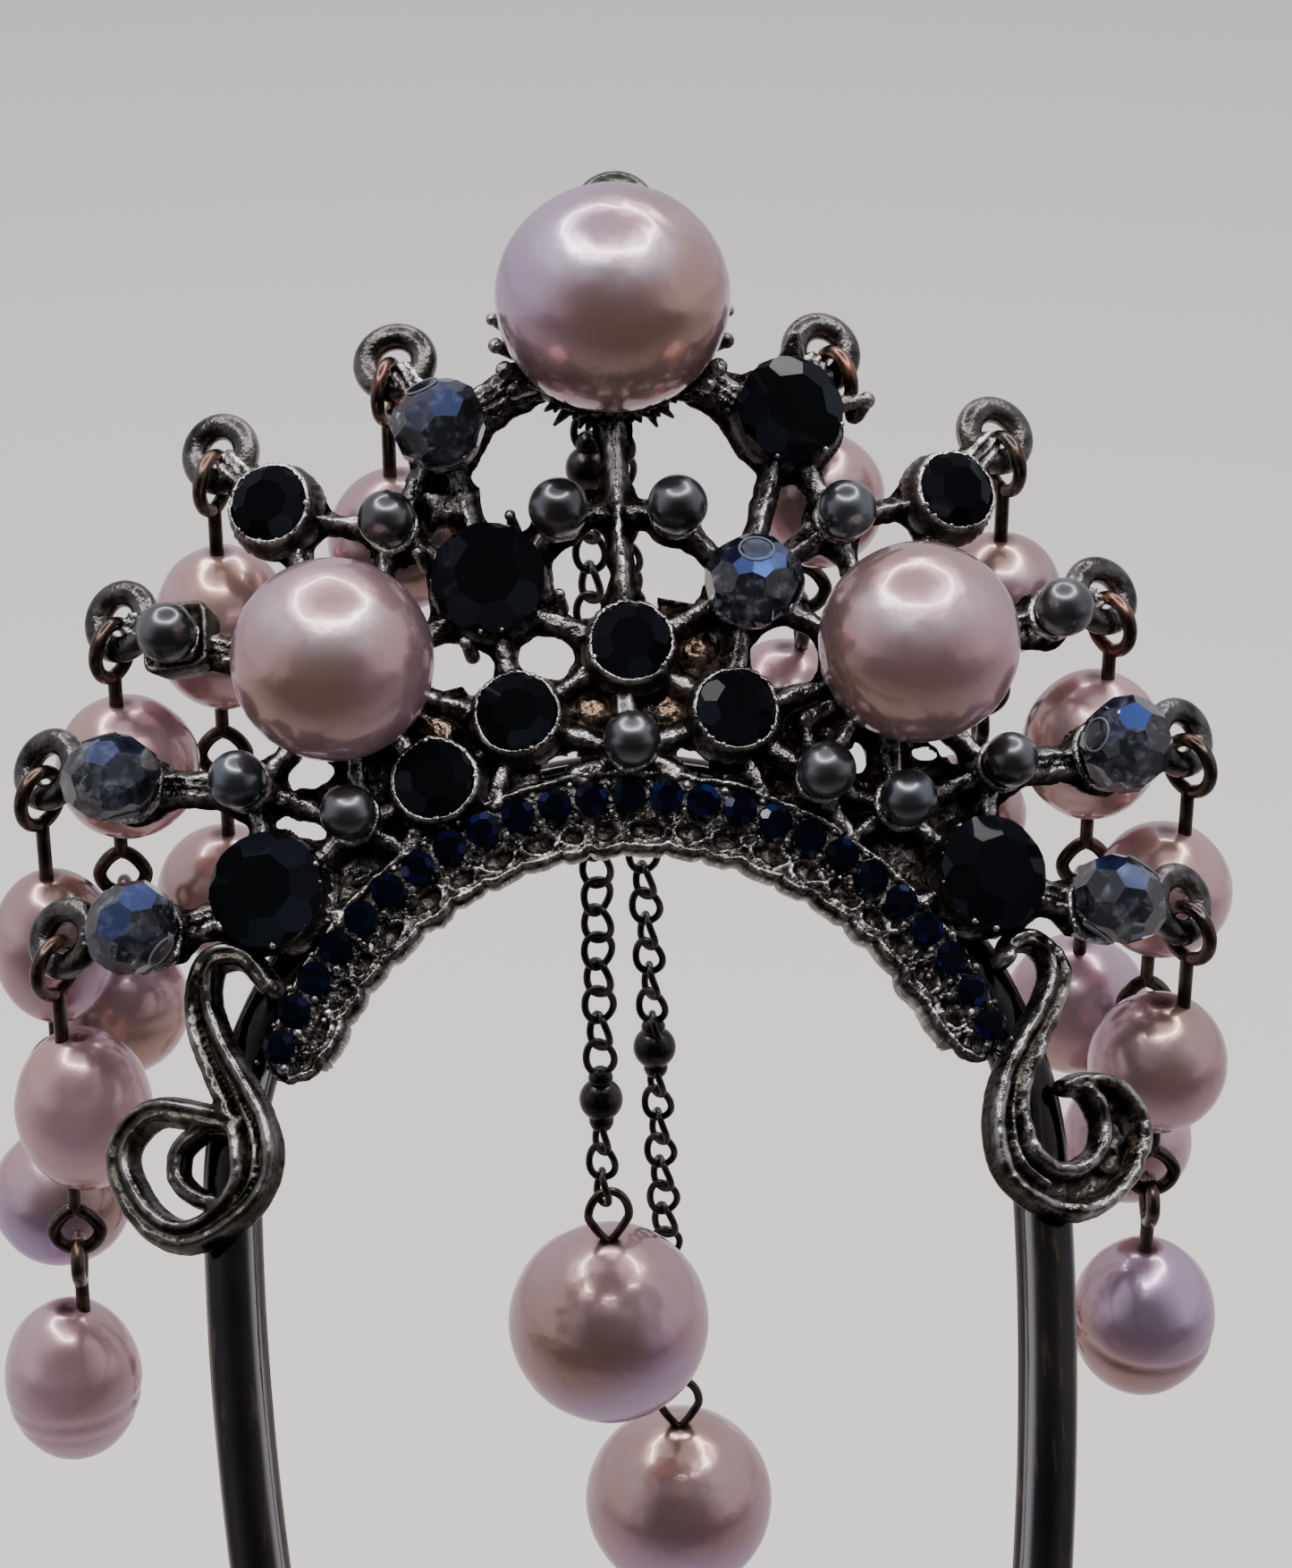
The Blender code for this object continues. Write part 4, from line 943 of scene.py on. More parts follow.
def boxShape(across, up, half, top):
    # a square cup with rounded corners: half / (cos^6 + sin^6)^(1/6) round the middle, hollow at its front
    place, axes = crownFrame(across, up)
    back = crown["back"]
    rows = [
        (0, top - 0.3, 0, 0.8), (0.8, top - 0.25, 0, 0.7), (0.88, top, 0.3, 0.5),
        (0.93, top + 0.06, 0.3, 0.35), (1.0, top - 0.05, 0.1, 0.5), (1.0, top - 0.4, 0, 0.5),
        (0.97, 0.3, 0, 0.5), (0.92, back, 0.2, 0.3), (0, back, 0.1, 0.2),
    ]

    def squared(radius, height, turn):
        return radius * half / (np.abs(np.cos(turn)) ** 6 + np.abs(np.sin(turn)) ** 6) ** (1 / 6), height

    return revolve(rows, ("wear", "grime"), 64, place, axes, squared)


def coneShape(start, end, thick, thin, out, **marks):
    # a tapering wire between two places given as (across, up, lift)
    share = np.linspace(0, 1, 6)[:, None]
    path = crownPlace(np.asarray(start, float) * (1 - share) + np.asarray(end, float) * share)
    size = thick + (thin - thick) * share[:, 0] ** 1.3
    return sweep(path, roundProfile(1.0, 10), size, out=out, **marks)


def prongShapes(across, up, rng):
    # a dark collar under the top pearl with ragged teeth, and ball-tipped prongs at the pearl's sides
    out = crownFrame(across, up)[1][2]
    turn = np.arange(72) / 72 * tau
    wave = 0.06 * np.sin(7 * turn) + 0.05 * np.sin(13 * turn + 1)
    wide = spikes["collar"] + wave
    collar = crownPlace(np.stack([across + wide * np.cos(turn), up + wide * np.sin(turn), 1.0 + wave], -1))
    shapes = [sweep(collar, roundProfile(1.0, 10) * (0.24, 0.8), out=out, closed=True, wear=0.15, grime=0.35)]
    for row, (base, baseLift, reach, tipLift) in enumerate(spikeRows):
        for degrees in np.linspace(spikes["from"], spikes["to"], spikes["count"] - 8 * row):
            angle = math.radians(degrees + rng.uniform(-3, 3))
            swell = math.sin(math.pi * (degrees - spikes["from"]) / (spikes["to"] - spikes["from"]))
            long = rng.uniform(0, 1) ** 2.2 * spikes["longest"] * (1 - 0.4 * row) * (0.2 + 0.8 * swell)
            ray = np.array([math.cos(angle), math.sin(angle)])
            sway = np.array([-ray[1], ray[0]]) * rng.uniform(-0.35, 0.35)
            start = (across + ray[0] * base, up + ray[1] * base, baseLift)
            tip = (*(np.array([across, up]) + ray * (reach + long) + sway), tipLift + rng.uniform(-0.3, 0.4))
            shapes.append(coneShape(start, tip, rng.uniform(0.24, 0.38), 0.1, out, wear=0.25, grime=0.35))
    for ballAcross, ballUp, ballLift, size in sideProngs:
        start = (ballAcross * 0.74, up + (ballUp - up) * 0.74, 0.6)
        end = (ballAcross, ballUp, ballLift - 0.1)
        shapes.append(coneShape(start, end, 0.55, size * 0.75, out, wear=0.35, grime=0.15))
        shapes.append(ballShape(crownSpot(ballAcross, ballUp, ballLift), size, 9, 14, wear=0.55, grime=0.0))
    return shapes


def loopShape(across, up):
    # a ring of round wire lying in the sheet, a little flattened, worn bright along its outside
    sides, rounds = fittings["loopSides"], fittings["loopRounds"]
    turn = np.arange(rounds) / rounds * tau
    radius = fittings["loopRadius"] + 0.04 * np.sin(2 * turn + across)
    path = np.stack([across + radius * np.cos(turn), up + radius * np.sin(turn), np.zeros(rounds)], -1)
    profile = roundProfile(fittings["loopWire"], sides) * (1.0, 0.92)
    along = np.abs(np.cos(np.arange(sides) / sides * tau))
    shape = sweep(path, profile, closed=True, wear=(0.1 + 0.35 * along**6)[None, :], grime=0.08)
    shape["points"] = crownPlace(shape["points"])
    return shape


metalShapes = []
rng = np.random.default_rng(21)
for order, (name, (kind, across, up, radius)) in enumerate(settings.items()):
    if kind == "stone":
        metalShapes.append(bezelShape(across, up, radius, order))
        metalShapes += bezelGrips(across, up, radius, rng)
    else:
        cup, sides = cups[kind]
        cup = cup * radius / sidePearl if kind == "pearl" else cup
        metalShapes.append(cupShape(across, up, radius, seatOf(kind, radius), cup, order, sides))
metalShapes += prongShapes(*settings["pearl_top"][1:3], rng)
metalShapes.append(boxShape(*beadBox))
for across, up, lift, radius in nubs:
    metalShapes.append(ballShape(crownSpot(across, up, lift), radius, 10, 14, wear=0.5, grime=0.1))
    root, tip, upward = (across * 0.97, up - 0.45, 0.1), (across, up, lift), crownFrame(across, up)[1][1]
    metalShapes.append(coneShape(root, tip, radius * 1.2, radius * 0.8, upward, wear=0.2, grime=0.3))
forward = crownFrame(9.4, 42.0)[1][2]
for root, tip, thick, thin, wear, grime in thorns:
    metalShapes.append(coneShape(root, tip, thick, thin, forward, wear=wear, grime=grime))
makePiece("castSettings", joinShapes(metalShapes), gunmetal, ["crown_casting"])
loopShapes = [loopShape(side * across, up) for across, up in loopSpots.values() for side in (-1, 1)]
loopShapes.append(loopShape(*topLoop))
# an arm from behind the top pearl out to the top loop
armPath = crownPlace(np.array([[0.6, 46.3, -1.0], [0.6, 47.6, -0.7], [0.6, 49.7, -0.05]]))
armProfile, forward = roundProfile(fittings["armWire"], 14), crownFrame(*topLoop)[1][2]
loopShapes.append(sweep(armPath, armProfile, out=forward, wear=0.15, grime=0.2))
makePiece("castLoops", joinShapes(loopShapes), loopMetal, ["crown_casting"])
print("stage: settings and loops")


# painted glows on the pearls and painted glints on the crystals are centred on this direction
shineWay = np.array([-0.05, -0.42, 0.9])  # halfway between the viewer and the ring lamp
shineWay /= np.linalg.norm(shineWay)
swirlWay = np.array([0.62, 0.5, 0.6])  # where a rippled pearl's ripples lie: sideways, up and out
swirlWay /= np.linalg.norm(swirlWay)


def pearlShape(
    place, axes, radius, half, seed, wobble, rings, sides,
    grooves=(), dents=6, holeSize=0.0, swirl=0.0, glow=0.3,
):
    # radius r(polar, turn) = ball, times slow waves; grooves sink in bell
    # shapes at their heights; the drilled holes dip in at both poles
    rng = np.random.default_rng(seed)
    polar = np.linspace(0, np.pi, rings)[:, None]
    turn = (np.arange(sides) / sides * tau)[None, :]
    waves = sum(
        rng.normal() / (k + 1) * np.sin((k + 1) * polar + rng.uniform(0, tau))
        * np.cos(k * turn + rng.uniform(0, tau)) * np.sin(polar)
        for k in range(1, 5)
    )
    stretch = 1 + wobble * waves
    height = np.cos(polar)
    for _ in range(dents):
        # small shallow dents: a bell of the angle between each point and the dent's direction
        dentPolar, dentTurn = np.arccos(rng.uniform(-0.9, 0.9)), rng.uniform(0, tau)
        near = np.cos(polar) * math.cos(dentPolar)
        near = near + np.sin(polar) * math.sin(dentPolar) * np.cos(turn - dentTurn)
        stretch = stretch - rng.uniform(0.003, 0.01) * np.exp((near - 1) / rng.uniform(0.004, 0.012))
    if swirl:
        # low ripples round a spot at the upper right: sin of the angle from it, fading away
        sideways, upward, outward = swirlWay
        facing = np.sin(polar) * (np.cos(turn) * sideways + np.sin(turn) * upward) + np.cos(polar) * outward
        away = np.arccos(np.clip(facing, -1, 1))
        ripples = np.sin(away * pearlLook["ripples"] + 2 * np.sin(3 * turn))
        away = (away - pearlLook["swirl"]) / pearlLook["swirlWide"]
        stretch = stretch + swirl * ripples * np.exp(-(away**2))
    for level, deep, wide, tilt in grooves:
        tilted = height + tilt * np.cos(turn + seed) * np.sin(polar)
        stretch = stretch - deep * np.exp(-(((tilted - level) / wide) ** 2))
    hole = np.zeros((rings, sides))
    if holeSize:
        away = np.minimum(polar, np.pi - polar) * radius
        stretch = stretch - pearlLook["holeDeep"] / radius * np.exp(-((away / holeSize) ** 2))
        hole = np.broadcast_to(np.exp(-((away / (holeSize * 1.2)) ** 4)), (rings, sides))
    r = radius * stretch * np.sin(polar)
    h = half * stretch * height
    around = np.cos(turn)[..., None] * axes[0] + np.sin(turn)[..., None] * axes[1]
    grid = place + r[..., None] * around + h[..., None] * axes[2]
    # painted highlight: a band of pale lilac round the place that faces between
    # the viewer and the lamp, where the lamp's glow falls: a bell of the angle from it
    facing = (grid - place) @ shineWay / np.linalg.norm(grid - place, axis=-1)
    fade = np.clip((0.95 - (grid[..., 2] - place[2]) / radius) / 0.5, 0, 1)
    patchy = 0.75 + 0.25 * np.sin(3 * turn + 2 * polar + seed) * np.sin(5 * polar + seed)
    away = (np.arccos(np.clip(facing, -1, 1)) - pearlLook["lilac"]) / pearlLook["lilacWide"]
    lilac = np.exp(-(away**2))
    orient = glow * lilac * fade * fade * (3 - 2 * fade) * patchy
    return gridShape(grid, False, True, hole=hole, orient=orient)


# angles from the swirl's middle and from the painted glow's middle, in radians; the depth of a drilled hole
pearlLook = {
    "swirl": 0.35, "swirlWide": 0.3, "ripples": 38, "lilac": 0.48, "lilacWide": 0.2, "holeDeep": 0.16,
}
# rings and sides of each sort of pearl's mesh
pearlMesh = {"large": (96, 128), "hung": (56, 72), "bead": (40, 56)}
bigPearls = {  # how each large pearl differs from a ball: its shift in its cup, its height, dents and ripples
    "pearl_top": {"across": 0.0, "up": -0.3, "tall": 0.965, "seed": 11, "dents": 14, "swirl": 0.0022},
    "pearl_left": {"across": 0.2, "up": -0.2, "tall": 1.0, "seed": 12, "dents": 9, "swirl": 0.0},
    "pearl_right": {"across": 0.0, "up": -0.1, "tall": 0.99, "seed": 13, "dents": 10, "swirl": 0.0012},
}
widerBead = {"bead_05": 1.14}  # the bead in the square cup is a little bigger
for name, (kind, across, up, radius) in settings.items():
    if kind == "pearl":
        look = bigPearls[name]
        place, axes = crownFrame(across + look["across"], up + look["up"], seatOf(kind, radius))
        axes = axes * np.array([1.0, look["tall"], 1.0])[:, None]
        body = pearlShape(
            place, axes, radius, radius, look["seed"], 0.01, *pearlMesh["large"],
            dents=look["dents"], swirl=look["swirl"], glow=1.0,
        )
        makePiece(name + "_nacre", body, pearlMauve, [name])
    elif kind == "bead":
        place, axes = crownFrame(across, up, seatOf(kind, radius))
        radius = radius * widerBead.get(name, 1.0)
        body = pearlShape(place, axes, radius, radius, 3, 0.004, *pearlMesh["bead"], dents=0)
        makePiece(name + "_glass", body, pearlGrey, [name])
print("stage: crown pearls")


def cutSolid(normals, distances):
    # corners are the points where three cutting planes meet behind all the others; a
    # facet is the ring of corners on its plane, sorted by their angle round its middle
    a, b, c = np.meshgrid(*[np.arange(len(normals))] * 3, indexing="ij")
    pick = (a < b) & (b < c)
    triples = np.stack([a[pick], b[pick], c[pick]], -1)
    matrices = normals[triples]
    solid = np.abs(np.linalg.det(matrices)) > 1e-6
    triples, matrices = triples[solid], matrices[solid]
    corners = np.linalg.solve(matrices, distances[triples][..., None])[..., 0]
    corners = corners[(corners @ normals.T <= distances + 1e-6).all(1)]
    corners = np.unique(np.round(corners, 5), axis=0)
    faces, owners = [], []
    for index, (normal, distance) in enumerate(zip(normals, distances)):
        on = np.where(np.abs(corners @ normal - distance) < 1e-4)[0]
        if len(on) < 3:
            continue
        middle = corners[on].mean(0)
        first = corners[on[0]] - middle
        second = np.cross(normal, first)
        rays = corners[on] - middle
        spin = np.arctan2(rays @ second, rays @ first * np.linalg.norm(normal))
        faces.append(on[np.argsort(spin)])
        owners.append(index)
    return corners, faces, np.array(owners)


def facetShape(corners, faces, tones, place, axes, size):
    # every facet has its own corners, so that it keeps one tone and a crisp edge
    points = np.concatenate([corners[face] for face in faces]) * size
    sizes = [len(face) for face in faces]
    starts = np.cumsum([0] + sizes[:-1])
    marks = np.repeat(tones, sizes)
    rings = [np.arange(count) + start for count, start in zip(sizes, starts)]
    return {"points": place + points @ axes, "faces": rings, "marks": {"facet": marks}}


def cutRows(rows):
    # each row is a ring of equal facets: count, first turn, tilt above the girdle, distance from the middle;
    # angles are in degrees, and a facet's direction is (cos tilt cos turn, cos tilt sin turn, sin tilt)
    normals, distances = [], []
    for count, first, tilt, distance in rows:
        turn, lean = np.radians(np.arange(count) * (360.0 / count) + first), math.radians(tilt)
        ring = [math.cos(lean) * np.cos(turn), math.cos(lean) * np.sin(turn), np.full(count, math.sin(lean))]
        normals.append(np.stack(ring, -1))
        distances.append(np.full(count, distance))
    return np.concatenate(normals), np.concatenate(distances)


# table, eight wide crown facets, eight narrow ones at their
# corners, a sixteen-sided girdle, eight back facets, culet
stoneCut = cutRows((
    (1, 0.0, 90.0, 0.33), (8, 22.5, 54.0, 0.588), (8, 0.0, 38.0, 0.775), (16, 11.25, 0.0, 1.0),
    (8, 22.5, -45.0, 0.78), (1, 0.0, -90.0, 0.4),
))
# a round bead: eight facets at the belt, eight above and below it, eight small ones and a flat by each hole
crystalCut = cutRows((
    (8, 0.0, 0.0, 0.95), (8, 22.5, 38.0, 0.93), (8, 22.5, -38.0, 0.93), (8, 0.0, 66.0, 0.9),
    (8, 0.0, -66.0, 0.9), (1, 0.0, 90.0, 0.86), (1, 0.0, -90.0, 0.86),
))
stoneCorners, stoneFaces, stoneOwners = cutSolid(*stoneCut)
crystalCorners, crystalFaces, crystalOwners = cutSolid(*crystalCut)
crystalTurns = {  # how each crystal's hole tips from the sheet's outward direction, and its spin, in degrees
    "crystal_01": (-54, 22), "crystal_02": (-31, 9), "crystal_03": (-72, 8), "crystal_04": (-82, 48),
    "crystal_05": (-80, 84), "crystal_06": (-64, -30),
}


def turnedAxes(axes, tilt, spin):
    # the three directions turned by spin round the outward one, then tipped by tilt
    t, s = math.radians(tilt), math.radians(spin)
    spun = np.array([[math.cos(s), math.sin(s), 0], [-math.sin(s), math.cos(s), 0], [0, 0, 1]])
    tipped = np.array([[1, 0, 0], [0, math.cos(t), math.sin(t)], [0, -math.sin(t), math.cos(t)]])
    return tipped @ spun @ axes


def boreRings(place, axes, radius):
    # the drilled hole: a thin ring round each end, and a frosted tube between them seen through the glass
    turn = np.arange(28) / 28 * tau
    shapes = []
    for way in (-1, 1):
        circle = 0.36 * radius * np.stack([np.cos(turn), np.sin(turn)], -1)
        path = place + circle @ axes[:2] + way * 0.865 * radius * axes[2]
        shapes.append(sweep(path, roundProfile(0.065, 8), out=axes[2], closed=True, facet=0.0))
    wide, long = 0.3 * radius, 0.8 * radius
    tube = [(0, long, 1.0), (wide, long, 0.0), (wide, -long, 0.0), (0, -long, 1.0)]
    shapes.append(revolve(tube, ("facet",), 28, place, axes))
    return shapes


for order, (name, (kind, across, up, radius)) in enumerate(settings.items()):
    rng = np.random.default_rng(order + 5)
    if kind == "stone":
        place, axes = crownFrame(across, up, seatOf(kind, radius) - 0.06)
        tones = rng.uniform(0, 1, len(stoneFaces)) ** 2 * (stoneOwners > 0)
        cover = 1.035 if radius > bigStone else 0.995
        place = place + (cover - 0.995) * 3 * axes[2]
        turned = turnedAxes(axes, rng.uniform(3, 6), rng.uniform(0, 45))
        shape = facetShape(stoneCorners, stoneFaces, tones, place, turned, radius * cover)
        makePiece(name + "_cut", shape, stoneGlass, [name], smooth=False, merge=False)
    elif kind == "crystal":
        place, axes = crownFrame(across, up, seatOf(kind, radius))
        turned = turnedAxes(axes, *crystalTurns[name])
        # painted glints: facets facing halfway between the viewer and the lamp get a high mark, and so the
        # bright blue coat
        facing = (crystalCut[0][crystalOwners] @ turned) @ shineWay
        tones = np.clip((facing - 0.72) / 0.2, 0, 1) * rng.uniform(0.25, 1.0, len(crystalFaces))
        shape = facetShape(crystalCorners, crystalFaces, tones, place, turned, radius * 1.02)
        makePiece(name + "_cut", shape, crystalGlass, [name], smooth=False, merge=False)
        bore = joinShapes(boreRings(place, turned, radius))
        makePiece(name + "_bore", bore, boreGlass, [name])
print("stage: stones and crystals")


stoneRow = {
    "count": 25, "radius": 0.86, "ring": 18.55, "endRing": 19.2, "start": 20.5, "lift": 0.95, "grains": 70,
}


def rowSpot(index):
    # the row's radius grows a little toward its ends: ring + (endRing - ring) * (share from the middle)^2
    step = (180 - 2 * stoneRow["start"]) / (stoneRow["count"] - 1)
    share = 2 * index / (stoneRow["count"] - 1) - 1
    radius = stoneRow["ring"] + (stoneRow["endRing"] - stoneRow["ring"]) * share**2
    angle = math.radians(stoneRow["start"] + step * index)
    return radius, angle


def smallStones():
    shapes = []
    rng = np.random.default_rng(77)
    for index in range(stoneRow["count"]):
        radius, angle = rowSpot(index)
        lift = stoneRow["lift"] + rng.uniform(-0.08, 0.06)
        place, axes = crownFrame(radius * math.cos(angle), radius * math.sin(angle), lift)
        tones = 0.3 * rng.uniform(0, 1, len(stoneFaces)) ** 3
        # a few facets get a full mark: painted blue glints
        tones = (tones + 0.7 * (rng.uniform(0, 1, len(stoneFaces)) > 0.93)) * (stoneOwners > 0)
        tilt = turnedAxes(axes, rng.uniform(3, 8), rng.uniform(0, 45))
        shapes.append(facetShape(stoneCorners, stoneFaces, tones, place, tilt, stoneRow["radius"]))
    return joinShapes(shapes)


def rowBalls():
    # uneven grips between the stones, and a scatter of tiny cast grains below and between them
    shapes = []
    rng = np.random.default_rng(31)
    for index in range(stoneRow["count"] + 1):
        radius, angle = rowSpot(index - 0.5)
        for offset in (-0.74, 0.76):
            at = radius + offset + rng.uniform(-0.1, 0.1)
            spot = crownSpot(at * math.cos(angle), at * math.sin(angle), 0.75 + rng.uniform(0, 0.25))
            size, wear = rng.uniform(0.13, 0.25), rng.uniform(0.1, 0.9)
            shapes.append(ballShape(spot, size, 7, 10, wear=wear, grime=0.0))
    for _ in range(stoneRow["grains"]):
        at = 17.25 + rng.uniform(0, 0.75)
        angle = math.radians(rng.uniform(19, 161))
        spot = crownSpot(at * math.cos(angle), at * math.sin(angle), 0.35 + rng.uniform(0, 0.2))
        shapes.append(ballShape(spot, rng.uniform(0.08, 0.16), 6, 8, wear=rng.uniform(0.0, 0.7), grime=0.1))
    return joinShapes(shapes)


makePiece("bandStones", smallStones(), bandGlass, ["stone_row"], smooth=False, merge=False)
makePiece("bandGrips", rowBalls(), gunmetal, ["crown_casting"])
print("stage: band stones")


# the bands are painted highlight streaks along the rod
fork = {  # the bands' places and widths are degrees round the rod
    "rod": 1.5, "arch": 20.6, "archTall": 1.03, "leg": 52.0, "pull": 7.5, "sides": 72,
    "band": 226.0, "bandWide": 13, "outerBand": 345, "outerWide": 12, "outerShine": 0.35,
}


def forkShape():
    # straight legs that draw in by pull * (1 - cos), and a round arch; the plane leans back as the crown does
    down = np.linspace(fork["leg"], 0, 70)[:-1]
    inward = fork["pull"] * (1 - np.cos(np.pi / 2 * down / fork["leg"] * 0.98))
    left = np.stack([-fork["arch"] + inward, np.zeros_like(down), -down], -1)
    angle = np.linspace(np.pi, 0, 90)
    wide, tall = fork["arch"] * np.cos(angle), fork["arch"] * fork["archTall"] * np.sin(angle)
    arch = np.stack([wide, np.zeros_like(angle), tall], -1)
    right = left[::-1] * (-1, 1, 1)
    path = leanBack(np.concatenate([left, arch, right]))
    # a painted highlight streak runs along the front of the rod's inner side, and a fainter one along its
    # outer edge
    around = (np.arange(fork["sides"]) / fork["sides"] * 360)[None, :]
    sway = 3 * np.sin(np.linspace(0, 9, len(path)))[:, None]
    rubbed = np.exp(-((np.abs(around + sway - fork["band"]) / fork["bandWide"]) ** 4))
    outer = np.exp(-((np.abs(around - fork["outerBand"]) / fork["outerWide"]) ** 2))
    rubbed = rubbed + fork["outerShine"] * outer
    return sweep(path, roundProfile(fork["rod"], fork["sides"]), out=leanBack([0, 1, 0]), rubbed=rubbed)


makePiece("forkRod", forkShape(), rodMetal, ["hair_fork"])
print("stage: fork")


# loop, side, degrees outward; upper pearl: across, drop, radius, half height; lower pearl; how far behind
strings = {
    "string_left_1": ("loop_1", -1, 8.0, -11.3, 9.8, 3.85, 3.9, -11.5, 24.1, 3.6, 3.6, 0.0),
    "string_left_2": ("loop_2", -1, 0.0, -20.9, 9.8, 3.8, 4.6, -21.6, 26.1, 3.8, 3.8, 0.0),
    "string_left_3": ("loop_3", -1, 0.0, -26.2, 8.3, 3.85, 3.9, -27.5, 23.4, 3.8, 3.9, 0.4),
    "string_left_4": ("loop_4", -1, 0.0, -30.4, 10.4, 3.4, 4.4, -31.1, 26.4, 3.9, 3.9, 0.0),
    "string_left_5": ("loop_5", -1, 0.0, -28.8, 10.1, 3.65, 4.6, -30.6, 27.6, 3.75, 4.8, 0.0),
    "string_right_1": ("loop_1", 1, 20.0, 11.3, 8.2, 3.5, 3.7, 9.6, 20.6, 3.8, 3.8, 0.0),
    "string_right_2": ("loop_2", 1, 0.0, 21.1, 9.0, 3.4, 3.4, 19.6, 22.7, 3.5, 3.5, 0.0),
    "string_right_3": ("loop_3", 1, 0.0, 25.9, 8.6, 3.8, 4.2, 26.2, 26.0, 4.0, 4.0, 1.6),
    "string_right_4": ("loop_4", 1, 0.0, 29.6, 9.0, 3.75, 3.75, 28.5, 25.0, 3.7, 3.7, 0.0),
    "string_right_5": ("loop_5", 1, 0.0, 28.5, 9.4, 3.75, 3.85, 28.7, 26.0, 4.0, 4.6, 0.0),
}
pearlGrooves = {  # (height, depth, width, tilt) of each groove, for upper and lower pearls that have one
    ("string_left_2", 0): ((-0.1, 0.035, 0.07, 0.1), (0.25, 0.02, 0.06, 0.1)),
    ("string_left_5", 0): ((0.3, 0.012, 0.1, 0.0),),
    ("string_left_5", 1): ((-0.18, 0.03, 0.06, 0.05), (-0.42, 0.02, 0.05, 0.05)),
    ("string_right_5", 1): ((-0.02, 0.05, 0.07, 0.22),),
    ("string_right_3", 0): ((-0.35, 0.02, 0.08, 0.1),),
    ("string_left_3", 1): ((0.1, 0.015, 0.1, 0.1),),
}
copperShare = {"string_left_1": 0.9, "string_right_1": 1.0, "string_right_3": 0.7}  # top eyes worn to copper
wires = {
    "wire": 0.38, "sides": 14, "eye": 1.46, "eyeTop": 1.32, "eyeRows": 44, "stemRows": 6, "inset": 0.5,
    "link": 1.26, "overlap": 1.4, "pinch": 0.3, "endBall": 0.42, "copper": 0.25,
}


def hangPoint(loop, side, extra):
    # the lowest point of a leaning, turned ring, and the heading of an eye through it
    across, up = loopSpots[loop]
    place, axes = crownFrame(side * across, up)
    lean = math.radians(crown["lean"])
    lowest = math.atan2(math.sin(across / crown["bend"]) * math.sin(lean), math.cos(lean))
    lowest += math.radians(extra)
    around = np.array([side * math.sin(lowest), -math.cos(lowest), 0.0]) * fittings["loopRadius"]
    tangent = np.array([math.cos(lowest), side * math.sin(lowest), 0.0]) @ axes
    return place + around @ axes, math.atan2(tangent[1], tangent[0]) + math.pi / 2, place


def eyeShape(centre, radius, stemEnd, heading, copper, wire=wires["wire"], pinch=0.0, tall=1.0):
    # a round eye with its stem: up the stem, then once round;
    # the eye stands in the upright plane of its heading
    across = np.array([math.cos(heading), math.sin(heading), 0.0])
    rise = np.array([0.0, 0.0, 1.0])
    way = 1.0 if stemEnd < centre[2] else -1.0
    turn = np.linspace(-np.pi / 2, 1.42 * np.pi, wires["eyeRows"])
    narrow = 1 - pinch * np.clip(-np.sin(turn), 0, 1)
    circle = (narrow * np.cos(turn))[:, None] * across + way * tall * np.sin(turn)[:, None] * rise
    ring = centre + radius * circle
    heights = np.linspace(stemEnd, ring[0, 2], wires["stemRows"] + 1)[:-1]
    stem = np.stack(np.broadcast_arrays(centre[0], centre[1], heights), -1)
    path = np.concatenate([stem, ring])
    normal = np.cross(across, rise)
    wear = copper * np.concatenate([np.full_like(heights, 0.2), 0.3 + 0.7 * np.sin(turn) ** 2])
    return sweep(path, roundProfile(wire, wires["sides"]), out=normal, wear=wear[:, None], grime=0.1)


wireShapes = []
for order, (name, row) in enumerate(strings.items()):
    loop, side, extra, x1, drop1, r1, h1, x2, drop2, r2, h2, back = row
    hold, heading, centre = hangPoint(loop, side, extra)
    depth = hold[1] + 0.15
    upper = np.array([x1, depth, centre[2] - drop1])
    lower = np.array([x2, depth + back, centre[2] - drop2])
    pearls = []
    for low, middle, r, h, wobble in ((0, upper, r1, h1, 0.022), (1, lower, r2, h2, 0.026)):
        grooves = pearlGrooves.get((name, low), ())
        seed, mesh = order * 2 + 1 + low, pearlMesh["hung"]
        pearls.append(pearlShape(middle, np.eye(3), r, h, seed, wobble, *mesh, grooves, holeSize=0.55))
    nacre = pearlPink if order % 3 else pearlMauve
    makePiece(name + "_pearls", joinShapes(pearls), nacre, [name])
    size, link = wires["eye"], wires["link"]
    eye = np.array([hold[0], hold[1], hold[2] + wires["eyeTop"] - size])
    copper, inset = copperShare.get(name, wires["copper"]), wires["inset"]
    wireShapes.append(eyeShape(eye, size, upper[2] + h1 - inset, heading, copper))
    # two eyes between the pearls, caught in each other where the pearls' gap has its middle
    meet = (upper[2] - h1 + lower[2] + h2) / 2
    x, y, _ = (upper + lower) / 2
    lap = wires["wire"] * wires["overlap"] / 2
    high, low = np.array([x, y, meet - lap + link]), np.array([x, y, meet + lap - link])
    wireShapes.append(eyeShape(high, link, upper[2] - h1 + inset, 0.0, 0.15, pinch=wires["pinch"]))
    wireShapes.append(eyeShape(low, link, lower[2] + h2 - inset, math.pi / 2, 0.2, pinch=wires["pinch"]))
    wireShapes.append(ballShape(lower - (0.0, 0.0, h2 - 0.02), wires["endBall"], 9, 14, wear=0.1, grime=0.1))
makePiece("stringWires", joinShapes(wireShapes), wireMetal)
print("stage: strings")


